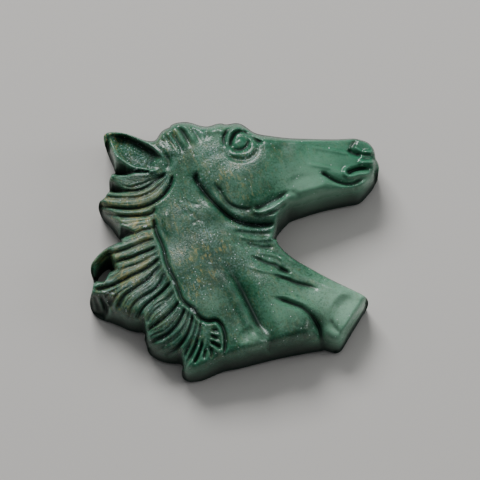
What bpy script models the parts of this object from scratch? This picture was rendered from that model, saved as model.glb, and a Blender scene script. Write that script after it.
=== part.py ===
"""A horse's head and neck carved in relief from one flat-backed piece of green jade.

The carving lies on its back: +X runs from the mane to the muzzle, +Y from the chest to the ear and +Z out of
the back. The origin is the middle of the back. All sizes below are in millimetres.

The relief is laid out on a slanted plan. A plan point (x, y) stands for the surface point that a line through
it, leaning LEAN_ANGLE back from vertical, meets, and the plan lies at PLAN_LEVEL. Walls that face -Y therefore
have a width in the plan: they rise WALL_RISE for each millimetre of it.
"""
import math

import bmesh
import bpy
import numpy as np
from mathutils import Matrix

MM = 0.001
NODE = "horse_head_carving"
COLLECTION = "jade_horse_head_carving"

CELL = 0.5              # spacing of the surface mesh before it is thinned
KEPT_SHARE = 0.34       # share of the triangles that the thinning keeps
LEAN_ANGLE = 20.0       # degrees
PLAN_LEVEL = 8.0
FOOT = 0.4              # height of the lowest rim
WALL_RISE = 2.5
SIDE_STEEPNESS = 5.0    # how much faster a wall rises across the plan than along Y
STEEPEST_FRONT = 3.6    # slope in the plan of the steepest edge that still faces -Y
EDGE_HEIGHT = 5.6       # height at which the rounded back edge starts
EDGE_RISE = 4.0
EDGE_ROUNDING = 2.4

JADE_COLOUR = (0.055, 0.155, 0.075, 1.0)
JADE_ROUGHNESS = 0.22

LEAN = math.tan(math.radians(LEAN_ANGLE))
BACK_SMOOTHING = 5      # passes that even out the rim of the back
TOUCH = 0.02            # a rim point this close to an edge lies on it

EAR_BACK = [(-25.95, 22.2), (-24.8, 23.2), (-22.4, 23.1), (-19.0, 21.95), (-16.2, 21.35)]
FORELOCK = [(-15.2, 22.4), (-13.1, 24.2), (-11.4, 25.2), (-8.7, 25.15), (-6.0, 24.4), (-3.3, 25.0), (-1.3, 24.9),
            (0.6, 25.05), (3.1, 23.4), (5.1, 22.65)]
MUZZLE = [(8.5, 22.15), (14.0, 21.8), (20.0, 21.7), (23.6, 21.8), (26.3, 20.6), (27.3, 18.3), (28.1, 15.9),
          (27.9, 13.7), (26.9, 11.3), (24.9, 8.8), (22.0, 7.75)]
JAW = [(16.5, 6.45), (12.7, 5.2), (10.5, 4.3), (9.0, 2.7), (7.9, 1.0)]
CHEST = [(8.7, -0.75), (10.6, -2.65), (13.4, -4.55), (17.0, -6.65), (21.0, -8.75), (24.4, -10.55), (25.6, -12.0),
         (25.3, -13.9), (23.2, -17.4), (21.3, -20.7), (20.0, -22.5), (18.2, -22.4), (16.4, -22.25)]
NECK_END = [(12.5, -22.95), (4.7, -24.75), (0.8, -25.8), (-2.2, -26.4), (-6.3, -28.2), (-9.1, -28.5),
            (-10.4, -27.2), (-10.3, -25.3)]
MANE = [(-12.2, -24.8), (-15.7, -23.7), (-17.2, -21.4), (-17.7, -18.6), (-20.8, -18.0), (-24.3, -16.4),
        (-27.0, -15.3), (-28.3, -12.7), (-27.6, -9.2), (-28.1, -6.0), (-27.9, -4.1), (-25.9, -1.6), (-22.6, 0.4),
        (-24.1, 2.6), (-26.2, 5.2), (-26.7, 8.2), (-25.2, 10.2), (-24.8, 12.4), (-23.9, 14.6), (-24.6, 17.0),
        (-25.5, 19.7)]
CORD_HOLE = [(-25.4, -7.8), (-24.7, -6.6), (-24.2, -5.0), (-25.2, -5.3), (-26.2, -6.3), (-27.0, -7.6)]

# plan point and height of the broad forms
FORMS = [
    # forehead, face and muzzle
    (-8, 20, 9.2), (-4, 23, 9.6), (0, 24, 10.4), (1, 21, 10.9), (-6, 17, 10.2), (-5, 13.5, 11.0), (0, 14, 11.7),
    (3, 11.5, 11.6), (6, 17, 11.5), (10, 17, 10.9), (10, 21, 9.6), (13, 13, 10.6), (16, 17, 10.0), (17, 21, 8.9),
    (17, 11.5, 9.8), (21, 18, 9.3), (23, 21, 8.4), (25, 17, 8.7), (24, 12.5, 8.2), (20, 11.5, 8.9),
    # jaw
    (-3, 8.5, 11.0), (1, 6, 10.6), (6, 5.5, 10.0), (9, 8, 10.0),
    # neck and chest
    (-9, 13, 9.6), (-7.5, 9, 9.3), (-3, 4, 9.1), (4, 2.5, 8.6), (7, 1.5, 8.0), (-10, 5, 9.8), (-5, 0, 10.1),
    (-9, -5, 10.2), (-4, -8, 10.1), (-7, -12, 9.9), (1, -3, 9.5), (6, -8, 9.9), (11, -16, 9.6), (2, -19, 9.4),
    (0, -22.5, 8.6), (9, -2, 7.6), (14, -6.5, 8.0), (20, -12, 8.4), (24, -12, 7.4), (18, -20, 6.4), (22, -17, 7.0),
    # mane, locks and ear
    (-18, -2, 9.0), (-24, -3, 8.1), (-27, -5, 7.4), (-18, -9, 8.9), (-22, -12, 8.4), (-26, -10, 7.8),
    (-14, -14, 8.9), (-16, -20, 8.2), (-10, -19, 8.8), (-9, -25, 7.6), (-5, -18, 9.0), (-5, -23, 8.0),
    (-18, 13, 8.9), (-22, 13, 8.1), (-24, 14, 7.2), (-24, 10, 8.0), (-26, 8, 7.2), (-15, 11, 9.4), (-20, 8, 8.6),
    (-18, 3.5, 8.7), (-22, 4.5, 7.8), (-24.5, 21.5, 6.9), (-20, 20.5, 8.6), (-15, 18, 9.6), (-12, 22, 9.4),
    (-9, 24, 9.0)]
FORM_SOFTNESS = 1.3

# every cut below is a path of plan points, a depth and the reach of the cut to its side
JAW_LINE = [(-7.4, 15), (-7.5, 13.3), (-6.6, 11.4), (-5.2, 9.6), (-3.7, 7.9), (-2.2, 6.4), (-0.3, 5.0), (2, 4.2),
            (5, 3.9), (8.4, 4.2)]
MANE_LINE = [(-16.4, 6.4), (-15.6, 3.5), (-14.5, 0.5), (-13.5, -3), (-11.8, -7.3), (-10.2, -11), (-8, -13.4),
             (-6, -15.6), (-3.6, -15.8), (-2.4, -17.6), (-2.1, -20.5), (-2.7, -23.3)]
LOCK_LINE = [(-22.6, 7.1), (-19.8, 7.0), (-17.2, 7.5), (-15, 8.8), (-13.2, 10.7), (-12.2, 13)]
NECK_VALLEY = [(-3.6, -4.3), (-1.5, -6.5), (1.5, -10.8), (4, -15), (6.5, -18.3), (8.5, -20.5)]
CHEST_VALLEY = [(7, -10.8), (11.5, -12.8), (15.2, -15.2), (16.3, -18), (16.6, -21)]
THROAT_VALLEY = [(2.5, -2.6), (6, -4.3), (9.5, -5.9), (11.5, -6.4)]
MOUTH = [(16.2, 15), (18.3, 13.4), (21, 12.4), (23.5, 13), (25.5, 13.8)]
NOSTRIL = [(21.9, 14.8), (23.3, 15.3), (25, 15.6)]
EYE_SOCKET = [(-1.8, 23.6), (-2.4, 21.6), (-1.6, 19.2), (0.2, 17.9), (2.6, 17.8), (4.2, 19.4), (4.9, 21.2)]
EAR_HOLLOW = [(-23.9, 21.6), (-21.6, 20.6), (-18.9, 18.9), (-16.3, 17.4)]
EAR_FOOT = [(-23.8, 14.6), (-21.5, 14.5), (-18.5, 14.6), (-15, 14.8), (-12, 14.9)]
LOCK_GAPS = [
    [(-24.9, 10.9), (-22.2, 10.8), (-19.5, 11.1), (-16.5, 12.6)],
    [(-17.8, -18.4), (-16.4, -16.4), (-14, -13.8), (-12, -10.8)],
    [(-10.4, -25.0), (-9.2, -20.5), (-8.6, -16.5)],
    [(-22.6, 0.6), (-20.6, 1.3), (-18, 2.3), (-16.2, 3.8)],
    [(-28, -8.4), (-24.4, -7.8), (-20.5, -6.2), (-16.2, -3.2)],
    [(-22.4, -14.5), (-19.5, -10.2), (-16.4, -5.4)]]


def spline(points, closed=False, steps=5):
    """Smooth curve through the points (Catmull-Rom)."""
    knots = np.array(points, float)
    if closed:
        knots = np.vstack([knots[-1], knots, knots[:2]])
    else:
        knots = np.vstack([2 * knots[0] - knots[1], knots, 2 * knots[-1] - knots[-2]])
    t = np.linspace(0, 1, steps, endpoint=False)[:, None]
    spans = []
    for a, b, c, d in zip(knots, knots[1:], knots[2:], knots[3:]):
        spans.append(0.5 * (2 * b + (c - a) * t + (2 * a - 5 * b + 4 * c - d) * t ** 2
                            + (3 * b - a - 3 * c + d) * t ** 3))
    if not closed:
        spans.append(knots[-2:-1])
    return np.vstack(spans)


def nearest(x, y, path):
    """Distance to the path, how far along it that is (0 to 1), and the nearest point."""
    best = np.full(x.shape, np.inf)
    along, near_x, near_y = np.zeros(x.shape), np.zeros(x.shape), np.zeros(x.shape)
    for index, (start, end) in enumerate(zip(path, path[1:])):
        step = end - start
        t = np.clip(((x - start[0]) * step[0] + (y - start[1]) * step[1]) / (step @ step), 0, 1)
        px, py = start[0] + t * step[0], start[1] + t * step[1]
        away = (x - px) ** 2 + (y - py) ** 2
        closer = away < best
        best = np.where(closer, away, best)
        along = np.where(closer, (index + t) / (len(path) - 1), along)
        near_x, near_y = np.where(closer, px, near_x), np.where(closer, py, near_y)
    return np.sqrt(best), along, near_x, near_y


def inside(x, y, loop):
    """True where the point lies inside the closed loop."""
    result = np.zeros(x.shape, bool)
    for (ax, ay), (bx, by) in zip(loop, np.roll(loop, -1, axis=0)):
        crosses = (ay > y) != (by > y)
        reach = ax + (y - ay) * (bx - ax) / (by - ay if by != ay else 1e-9)
        result ^= crosses & (x < reach)
    return result


def drop_to_edge(x, y, loops):
    """Distance along -Y from each point to the nearest edge that faces -Y, sideways steps counting more.

    The outline runs clockwise and the hole anticlockwise, so those edges run towards -X. Edges that run almost
    along Y are the upright corners of the sides, and are passed over.
    """
    drop = np.full(x.shape, np.inf)
    for loop in loops:
        for (ax, ay), (bx, by) in zip(loop, np.roll(loop, -1, axis=0)):
            if abs(by - ay) > STEEPEST_FRONT * (ax - bx) or bx >= ax:
                continue
            over_x = np.clip(x, bx, ax)
            rise = y - (ay + (over_x - ax) * (by - ay) / (bx - ax))
            reach = np.maximum(rise, 0) + SIDE_STEEPNESS * np.abs(x - over_x)
            drop = np.where(rise >= -TOUCH, np.minimum(drop, reach), drop)
    return drop


def soft_min(a, b, rounding):
    """Lower of two heights, blended where they meet."""
    blend = np.maximum(rounding - np.abs(a - b), 0) / rounding
    return np.minimum(a, b) - blend ** 2 * rounding / 4


def broad_forms(x, y):
    """Height of the smooth forms before anything is cut in."""
    total, weight = np.zeros(x.shape), np.zeros(x.shape)
    for form_x, form_y, height in FORMS:
        pull = ((x - form_x) ** 2 + (y - form_y) ** 2 + FORM_SOFTNESS ** 2) ** -2
        total += pull * height
        weight += pull
    return total / weight


def groove(x, y, height, path, width, depth):
    """Cuts a rounded groove that fades out at both ends."""
    away, along, _, _ = nearest(x, y, spline(path))
    fade = np.clip(5 * np.minimum(along, 1 - along) + 0.35, 0, 1)
    return height - depth * fade * np.clip(1 - (away / width) ** 2, 0, 1) ** 2


def carve(x, y, loops):
    """Height of the carved surface over each plan point."""
    height = broad_forms(x, y)
    height = groove(x, y, height, JAW_LINE, 2.2, 1.7)
    height = groove(x, y, height, MANE_LINE, 1.5, 1.6)
    height = groove(x, y, height, LOCK_LINE, 1.5, 1.5)
    height = groove(x, y, height, NECK_VALLEY, 2.8, 1.6)
    height = groove(x, y, height, CHEST_VALLEY, 2.2, 1.5)
    height = groove(x, y, height, THROAT_VALLEY, 1.8, 1.0)
    height = groove(x, y, height, MOUTH, 1.3, 1.0)
    height = groove(x, y, height, NOSTRIL, 1.3, 1.2)
    height = groove(x, y, height, EYE_SOCKET, 1.5, 1.0)
    height = groove(x, y, height, EAR_HOLLOW, 2.6, 2.4)
    height = groove(x, y, height, EAR_FOOT, 1.5, 2.6)
    for path in LOCK_GAPS:
        height = groove(x, y, height, path, 1.4, 1.4)
    edge_distance = np.minimum.reduce([nearest(x, y, np.vstack([loop, loop[:1]]))[0] for loop in loops])
    height = soft_min(height, FOOT + WALL_RISE * drop_to_edge(x, y, loops), EDGE_ROUNDING)
    height = soft_min(height, EDGE_HEIGHT + EDGE_RISE * edge_distance, EDGE_ROUNDING)
    return np.maximum(height, FOOT)


def trimmed_grid(outline, hole):
    """Flat grid in the plan, trimmed to the outline and the hole, with its rim pulled onto them."""
    low, high = outline.min(axis=0) - CELL, outline.max(axis=0) + CELL
    count = np.ceil((high - low) / CELL).astype(int)
    middle, half = (low + high) / 2, count * CELL / 2
    plan = bmesh.new()
    bmesh.ops.create_grid(plan, x_segments=int(count[0]), y_segments=int(count[1]), size=1,
                          matrix=Matrix.Translation((*middle, 0)) @ Matrix.Diagonal((*half, 1, 1)))
    centres = np.array([face.calc_center_median() for face in plan.faces])
    kept = inside(centres[:, 0], centres[:, 1], outline) & ~inside(centres[:, 0], centres[:, 1], hole)
    outside = [face for face, keep in zip(plan.faces, kept) if not keep]
    bmesh.ops.delete(plan, geom=outside, context='FACES')
    pinched = True
    while pinched:
        corners = [v for v in plan.verts if sum(edge.is_boundary for edge in v.link_edges) > 2]
        pinched = sorted({face for v in corners for face in v.link_faces}, key=lambda face: face.index)
        bmesh.ops.delete(plan, geom=pinched, context='FACES')
    rim = [v for v in plan.verts if v.is_boundary]
    where = np.array([v.co for v in rim])
    closest = [nearest(where[:, 0], where[:, 1], np.vstack([loop, loop[:1]])) for loop in (outline, hole)]
    for index, vert in enumerate(rim):
        distance, _, x, y = min((near[0][index], *[part[index] for part in near[1:]]) for near in closest)
        if distance < CELL:
            vert.co.x, vert.co.y = x, y
    return plan


def relief_mesh():
    """Closed solid: carved top, upright sides and flat back."""
    outline = spline(EAR_BACK + FORELOCK + MUZZLE + JAW + CHEST + NECK_END + MANE, closed=True)
    hole = spline(CORD_HOLE, closed=True)
    solid = trimmed_grid(outline, hole)
    plan = np.array([v.co for v in solid.verts])
    heights = carve(plan[:, 0], plan[:, 1], [outline, hole])
    for vert, height in zip(solid.verts, heights):
        vert.co.y += LEAN * (PLAN_LEVEL - height)
        vert.co.z = height
    rim = [edge for edge in solid.edges if edge.is_boundary]
    walls = bmesh.ops.extrude_edge_only(solid, edges=rim)['geom']
    back_corners = [item for item in walls if isinstance(item, bmesh.types.BMVert)]
    for vert in back_corners:
        vert.co.z = 0.0
    for _ in range(BACK_SMOOTHING):
        bmesh.ops.smooth_vert(solid, verts=back_corners, factor=0.5, use_axis_x=True, use_axis_y=True)
    back_rim = [item for item in walls if isinstance(item, bmesh.types.BMEdge) and item.is_boundary]
    bmesh.ops.triangle_fill(solid, edges=back_rim, use_beauty=True)
    bmesh.ops.triangulate(solid, faces=solid.faces)
    bmesh.ops.recalc_face_normals(solid, faces=solid.faces)
    low = [min(v.co[axis] for v in solid.verts) for axis in (0, 1)]
    high = [max(v.co[axis] for v in solid.verts) for axis in (0, 1)]
    bmesh.ops.translate(solid, verts=solid.verts, vec=(-(low[0] + high[0]) / 2, -(low[1] + high[1]) / 2, 0))
    bmesh.ops.scale(solid, verts=solid.verts, vec=(MM, MM, MM))
    mesh = bpy.data.meshes.new(NODE)
    solid.to_mesh(mesh)
    solid.free()
    mesh.shade_smooth()
    mesh.set_sharp_from_angle(angle=math.radians(50))
    return mesh


def jade_material():
    material = bpy.data.materials.new("jade")
    material.use_nodes = True
    shader = material.node_tree.nodes["Principled BSDF"]
    shader.inputs["Base Color"].default_value = JADE_COLOUR
    shader.inputs["Roughness"].default_value = JADE_ROUGHNESS
    shader.inputs["Metallic"].default_value = 0.0
    return material


def main():
    for item in list(bpy.data.objects):
        bpy.data.objects.remove(item)
    collection = bpy.data.collections.new(COLLECTION)
    bpy.context.scene.collection.children.link(collection)
    carving = bpy.data.objects.new(NODE, relief_mesh())
    carving.data.materials.append(jade_material())
    thinning = carving.modifiers.new("thinning", 'DECIMATE')
    thinning.ratio = KEPT_SHARE
    thinning.use_collapse_triangulate = True
    collection.objects.link(carving)


main()
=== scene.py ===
"""Polished jade carving of a horse's head, its pale studio floor, soft light and camera.

Sizes inside the relief are in millimetres on a slanted plan: a plan point (x, y) stands for the surface point
that a line through it, leaning LEAN_ANGLE back from vertical, meets. Walls that face -Y have a width in it.
"""

import math

import bmesh
import bpy
import numpy as np
from mathutils import Matrix, Vector


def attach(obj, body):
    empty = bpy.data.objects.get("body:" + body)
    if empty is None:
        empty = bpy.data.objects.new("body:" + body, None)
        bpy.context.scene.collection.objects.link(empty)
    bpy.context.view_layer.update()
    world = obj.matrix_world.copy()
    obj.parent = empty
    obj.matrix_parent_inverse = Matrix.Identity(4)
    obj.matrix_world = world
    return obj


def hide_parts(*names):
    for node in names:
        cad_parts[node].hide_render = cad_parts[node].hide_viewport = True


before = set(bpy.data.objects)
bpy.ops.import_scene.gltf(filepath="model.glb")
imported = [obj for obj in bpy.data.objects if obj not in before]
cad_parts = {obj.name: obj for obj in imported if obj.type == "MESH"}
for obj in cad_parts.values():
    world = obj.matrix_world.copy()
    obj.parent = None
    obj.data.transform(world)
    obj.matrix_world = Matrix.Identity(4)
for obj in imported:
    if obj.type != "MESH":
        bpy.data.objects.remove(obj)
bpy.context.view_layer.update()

bl_info = {
    "name": "Carved jade horse head",
    "version": (1, 0, 0),
    "blender": (4, 5, 0),
    "location": "View3D > Sidebar > Jade Carving",
    "description": "Builds a polished jade relief of a horse's head and a small studio around it",
    "category": "Add Mesh",
}

MM = 0.001
NODE = "horse_head_carving"
PIECE = "carved_jade_head"

LEAN_ANGLE = 20.0            # the plan's lines lean back by this many degrees
LEAN = math.tan(math.radians(LEAN_ANGLE))
PLAN_LEVEL = 8.0             # height at which a plan point and its surface point are the same
OUTSIDE_REACH = 4            # grid cells outside the outline that the walls are worked out for
FOOT = 0.35                  # lowest height of the relief
STEEPEST_WALL = 2.68         # rise for each plan millimetre of an almost upright wall that faces -Y
SIDE_STEEPNESS = (5.0, 2.6)  # steepness to the side, of the outline's walls and of the cord hole's
STEEPEST_FRONT = 3.6         # an edge of the outline that is steeper than this has no front wall
EDGE_START = 6.8             # height of the rim, where the rounded edge begins
EDGE_RISE = 4.2
EDGE_BLEND = 1.2
# ground below SIDE_TOP, and ground rising towards +Y steeper than SIDE_RISE, gets painted shade as a side
SIDE_TOP = 5.8               # ground starts to count as a side below this height
SIDE_DEPTH = 3.0
SIDE_RISE = 1.3              # rise for each plan millimetre from which ground counts as a side
WAVE_LENGTHS = (9.0, 6.0, 4.2, 3.1)
WAVES_OF_EACH = 3
SEED = 11

# passes of blurring: the carved detail, the walls, and the whole relief at the end
DETAIL_BLUR, WALL_BLUR, LAST_BLUR = 2, 5, 1
RIM_REACH = 1.2              # grid cells within which the plan's rim is pulled onto the outline
RIM_SMOOTHINGS = 3
WALL_SMOOTHINGS = 2
FOOT_SMOOTHINGS = 6
# passes of blurring that a hollow or a crest is measured against, and what each difference counts
NEAR_BLUR, FAR_BLUR, SLOPE_BLUR = 5, 40, 10
# painted shade: how much a hollow's depth below its surroundings darkens the colour
HOLLOW_GAIN = (4.5, 0.9)
# painted highlight: how much a crest's height above its surroundings lightens the colour
CREST_GAIN = (4.0, 0.5)

EAR_BACK = [(-25.95, 22.2), (-25.6, 22.85), (-24.8, 23.2), (-23.6, 23.25), (-22.4, 23.1), (-21.2, 22.8),
            (-20.1, 22.4), (-19.0, 21.95), (-18.0, 21.55), (-17.1, 21.35), (-16.2, 21.35)]
FORELOCK_EDGE = [
    (-15.6, 21.7), (-15.2, 22.4), (-14.6, 23.3), (-13.8, 23.9), (-13.1, 24.2), (-12.7, 24.7), (-11.9, 25.1),
    (-10.9, 25.3), (-9.8, 25.35), (-8.7, 25.15), (-7.7, 24.8), (-6.7, 24.5), (-5.7, 24.4), (-4.8, 24.6),
    (-3.8, 24.95), (-2.9, 25.05), (-2.1, 24.85), (-1.3, 24.9), (-0.4, 25.1), (0.6, 25.05), (1.4, 24.7),
    (2.3, 24.05), (3.1, 23.4), (4.0, 22.95), (5.1, 22.65),
]
NOSE_EDGE = [
    (6.5, 22.45), (8.5, 22.15), (11, 21.9), (14, 21.8), (17, 21.7), (20, 21.7), (22.5, 21.85), (23.6, 21.8),
    (24.8, 21.45), (25.7, 21.1), (26.3, 20.6), (26.8, 19.9), (27.1, 19.2), (27.25, 18.3), (27.4, 17.5),
    (27.8, 16.7), (28.0, 15.9), (27.95, 15.1), (27.85, 14.4), (27.8, 13.6), (27.65, 12.8), (27.3, 12.1),
]
JAW_EDGE = [(26.9, 11.3), (26.3, 10.5), (25.6, 9.6), (24.9, 8.8), (24.1, 8.2), (23.2, 7.95), (22, 7.75),
            (20.5, 7.45), (18.5, 7.0), (16.5, 6.45), (14.5, 5.85), (12.7, 5.2), (11.4, 4.75), (10.5, 4.3),
            (9.8, 3.6), (9.0, 2.7), (8.3, 1.8), (7.9, 1.0)]
CHEST_EDGE = [(8.1, 0.2), (8.7, -0.75), (9.5, -1.65), (10.6, -2.65), (11.9, -3.65), (13.4, -4.55), (15, -5.5),
              (17, -6.65), (19, -7.75), (21, -8.75), (23, -9.8), (24.4, -10.55), (25.2, -11.2), (25.6, -12.0),
              (25.6, -12.9), (25.3, -13.9), (24.4, -15.4), (23.2, -17.4), (22.2, -19.1), (21.3, -20.7),
              (20.6, -21.9), (20.0, -22.5), (19.2, -22.65), (18.2, -22.4), (17.2, -22.1), (16.4, -22.25)]
NECK_EDGE = [(14.9, -22.5), (12.5, -22.95), (8.6, -23.75), (4.7, -24.75), (0.8, -25.8), (-2.2, -26.4),
             (-4.1, -27.2), (-6.3, -28.2), (-7.8, -28.5), (-9.1, -28.5), (-10.0, -28.0), (-10.4, -27.2),
             (-10.4, -26.3), (-10.3, -25.3)]
MANE_EDGE = [
    (-10.9, -24.85), (-12.2, -24.8), (-14, -24.5), (-15.7, -23.7), (-16.8, -22.7), (-17.2, -21.4),
    (-17.6, -19.9), (-17.7, -18.6), (-19.2, -18.4), (-20.8, -18.0), (-22, -17.4), (-23.1, -16.9),
    (-24.3, -16.4), (-25.7, -16.0), (-27, -15.3), (-28, -14.1), (-28.3, -12.7), (-28.2, -11.5),
    (-27.9, -10.3), (-27.7, -9.2), (-27.6, -8.2), (-27.9, -7.2), (-28.1, -6.0), (-28.1, -5.0),
    (-27.9, -4.1), (-27.4, -3.3), (-26.7, -2.4), (-25.9, -1.6), (-24.9, -0.85), (-23.8, -0.3), (-22.9, 0.1),
    (-22.6, 0.5), (-23.1, 1.1), (-24.1, 2.6), (-24.9, 3.6), (-25.7, 4.4), (-26.3, 5.3), (-26.6, 6.1),
    (-26.8, 7.2), (-26.7, 8.2), (-26.4, 8.8), (-25.9, 9.2), (-25.5, 9.6), (-25.2, 10.2), (-24.9, 10.7),
    (-24.85, 11.5), (-24.8, 12.4), (-24.7, 13.2), (-24.4, 14.1), (-24.1, 14.5), (-23.75, 14.7),
    (-23.9, 15.2), (-24.1, 15.9), (-24.6, 17.0), (-25.0, 18.0), (-25.3, 18.9), (-25.5, 19.7),
    (-25.75, 20.7),
]
CORD_HOLE = [(-25.4, -7.75), (-24.95, -7.0), (-24.5, -5.9), (-24.3, -5.25), (-24.8, -5.2), (-25.4, -5.5),
             (-26.0, -6.0), (-26.6, -6.7), (-27.05, -7.4), (-26.9, -7.8), (-26.2, -7.95)]

# plan point and height of the smooth forms, before any detail is cut
FORMS = [
    (-8, 20, 10.7), (-10, 17.6, 10.5), (-4, 23.5, 10.9), (0, 24, 11.1), (1, 21, 11.0), (-6, 17.2, 11.0),
    (-3, 17.8, 11.3), (-5, 13.5, 11.1), (0, 14, 11.9), (3, 11.5, 11.8), (6, 17, 11.7), (10, 17, 11.1),
    (10, 20.5, 10.1), (13, 13, 10.8), (16, 17, 10.2), (17, 20.5, 9.3), (17, 11.5, 10.0), (21, 18, 9.5),
    (23, 20.5, 8.8), (25, 17, 8.8), (24.5, 12.5, 8.3), (21, 11.3, 8.8), (13.5, 9.3, 9.8), (-3, 8.5, 11.1),
    (1, 6, 10.7), (6, 5.5, 10.1), (9, 7.5, 10.0), (-9, 13, 9.7), (-7.5, 9, 9.4), (-3, 4, 9.2),
    (4, 2.5, 8.7), (7, 1.5, 8.2), (-10, 5, 9.9), (-5, 0, 10.2), (-9, -5, 10.3), (-4, -8, 10.2),
    (-7, -12, 10.0), (1, -3, 9.6), (6, -8.5, 10.0), (11, -16, 9.9), (2, -19, 9.6), (0, -22.5, 8.8),
    (9, -2, 7.9), (14, -6.5, 8.2), (20, -12, 8.7), (24, -12, 7.6), (18.5, -19.5, 6.6), (22, -16.5, 7.3),
    (-18, -2, 9.0), (-24, -3, 8.3), (-27, -5, 7.5), (-18, -9, 9.0), (-21.5, -12, 8.7), (-26, -10, 8.0),
    (-25, -13, 5.6), (-14, -14, 9.0), (-15.5, -20.5, 6.9), (-10, -18, 9.0), (-11.5, -22, 6.7),
    (-9, -25, 6.9), (-5, -18, 9.2), (-5, -23, 8.2), (-18, 13, 9.0), (-22, 13, 8.2), (-24, 14, 7.4),
    (-24, 10, 8.2), (-26, 8, 7.3), (-15, 11, 9.5), (-20, 8, 8.9), (-18, 3.5, 8.8), (-22, 4.8, 8.0),
    (-24.7, 21.5, 7.0), (-22, 19, 8.2), (-19, 21, 8.9), (-15, 18, 9.8), (-12, 22, 10.2), (-9, 24, 10.3),
]
FORM_SOFTNESS = 1.2
FORM_BLUR = 150              # passes that even out the dimples around the forms' points

# strokes: points, width, depth, fade at the start and at the end. A depth below zero raises a ridge.
JAW_LINE = [(-7.4, 15.2), (-7.6, 13.5), (-6.8, 11.8), (-5.5, 10), (-4, 8.3), (-2.5, 6.8), (-1, 5.5), (1, 4.5),
            (3.5, 4.0), (6, 4.0), (8.6, 4.4)]
EYE_STROKES = [
    ([(-0.1, 24.7), (-0.8, 24.3), (-1.8, 23.3), (-2.35, 21.9), (-2.3, 20.8), (-2.15, 19.6)],
      0.7, 0.85, 0.3, 0.25),
    ([(1.3, 24.3), (0.1, 24.1), (-0.95, 23.3), (-1.5, 21.8), (-1.65, 20.6), (-1.6, 19.7)],
      0.75, -0.45, 0.2, 0.2),
    ([(-1.0, 24.7), (-2.3, 23.6), (-3.0, 22.4)], 0.8, -0.35, 0.2, 0.3),
    ([(2.9, 22.1), (1.95, 22.95), (0.9, 23.25), (-0.2, 22.85), (-0.8, 21.9), (-1.1, 20.7), (-1.05, 19.7)],
      0.6, 1.0, 0.15, 0.15),
    ([(-0.4, 24.9), (0.9, 24.75), (2.2, 24.1), (3.5, 23.0), (5.0, 22.0), (6.4, 21.5)],
      0.95, -1.2, 0.2, 0.3),
    ([(1.3, 23.7), (2.4, 23.1), (3.4, 22.0), (4.4, 21.2), (5.6, 20.8)], 0.7, 1.2, 0.15, 0.25),
    ([(2.7, 21.7), (2.15, 20.3), (1.3, 19.5), (0.2, 19.25), (-0.9, 19.5)], 0.4, 0.6, 0.15, 0.15),
    ([(-1.5, 19.1), (-0.2, 18.6), (1.2, 18.5), (2.7, 18.9), (3.6, 20.1), (4.2, 21.0)], 1.0, -0.3, 0.2, 0.3),
    ([(-2.1, 18.5), (-0.5, 17.5), (1.4, 17.2), (3.0, 17.7), (3.9, 18.9), (4.5, 20.3)], 0.7, 0.35, 0.2, 0.2),
]
MUZZLE_STROKES = [
    ([(13.5, 20.0), (16.5, 19.7), (19.0, 19.2), (21.0, 18.8), (22.4, 18.3)], 0.6, -0.25, 0.3, 0.2),
    ([(13.3, 16.7), (15.5, 16.2), (17.5, 15.8), (19.4, 15.4)], 0.6, -0.25, 0.3, 0.3),
    ([(16.2, 14.9), (17.4, 14.2), (18.5, 13.4), (19.9, 12.7), (21.4, 12.3), (22.7, 12.4), (24.1, 13.0),
      (25.7, 13.5)], 0.7, 1.0, 0.12, 0.2),
    ([(20.1, 11.5), (21.2, 11.6), (22.4, 11.75), (23.6, 12.1)], 0.5, -0.3, 0.3, 0.3),
    ([(26.8, 14.3), (25.4, 14.4), (24.0, 14.3), (22.7, 13.95), (21.7, 13.95), (21.2, 14.7), (21.6, 15.7),
      (23.0, 16.4)], 0.6, -0.7, 0.15, 0.25),
    ([(21.7, 14.4), (22.4, 14.9), (23.2, 15.25), (24.4, 15.5), (25.8, 15.5), (27.6, 15.6)],
      0.75, 1.5, 0.1, 0.5),
    ([(24.2, 18.35), (25.5, 18.4), (27.0, 18.3)], 0.5, 0.4, 0.25, 0.1),
    ([(24.4, 17.5), (25.6, 17.5), (27.2, 17.4)], 0.5, 0.4, 0.25, 0.1),
    ([(24.4, 18.9), (25.6, 18.95), (26.8, 18.8)], 0.6, -0.6, 0.3, 0.1),
    ([(23.6, 16.6), (25.3, 16.85), (27.2, 16.7)], 0.8, -0.85, 0.3, 0.1),
    ([(21.9, 19.7), (22.4, 19.0), (23.2, 18.5), (24.6, 18.25)], 0.85, 0.95, 0.2, 0.15),
    ([(23.0, 20.3), (23.7, 19.6), (24.7, 18.95)], 0.45, -0.4, 0.2, 0.2),
    ([(23.6, 21.7), (23.1, 20.9), (22.6, 20.2), (22.2, 19.5)], 0.6, 0.4, 0.2, 0.2),
    ([(23.0, 11.6), (23.3, 11.2), (23.5, 10.8)], 0.5, 0.6, 0.2, 0.3),
    ([(7.0, 22.2), (7.8, 21.2), (8.6, 20.2)], 0.22, -0.1, 0.2, 0.3),
]
CHEEK_STROKES = [
    (JAW_LINE, 0.95, 1.0, 0.1, 0.1),
    ([(3.4, 7.2), (4.7, 7.5), (6.6, 8.5), (8.4, 9.5), (10.4, 10.9)], 0.95, 0.75, 0.15, 0.25),
    ([(3.3, 6.9), (4.2, 6.5), (5.7, 6.7), (7.4, 7.5), (9, 8.7), (10.4, 9.9)], 0.7, -0.7, 0.15, 0.2),
    ([(5.6, 5.9), (7.2, 6.4), (8.8, 7.5), (10.2, 8.9)], 0.5, 0.35, 0.2, 0.2),
    ([(6.2, 5.4), (7.8, 5.9), (9.4, 7.0), (10.7, 8.2)], 0.5, -0.2, 0.2, 0.2),
    ([(-7.3, 16.4), (-5.5, 17.7), (-3.5, 18.6), (-1.6, 18.6)], 1.5, 0.09, 0.3, 0.3),
    ([(-4.4, 12.6), (-3.4, 11.5), (-2.6, 10.6)], 0.45, 0.3, 0.2, 0.3),
    ([(10.5, 11.0), (11.6, 10.2), (12.2, 9.2)], 0.9, 0.25, 0.3, 0.3),
]
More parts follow.
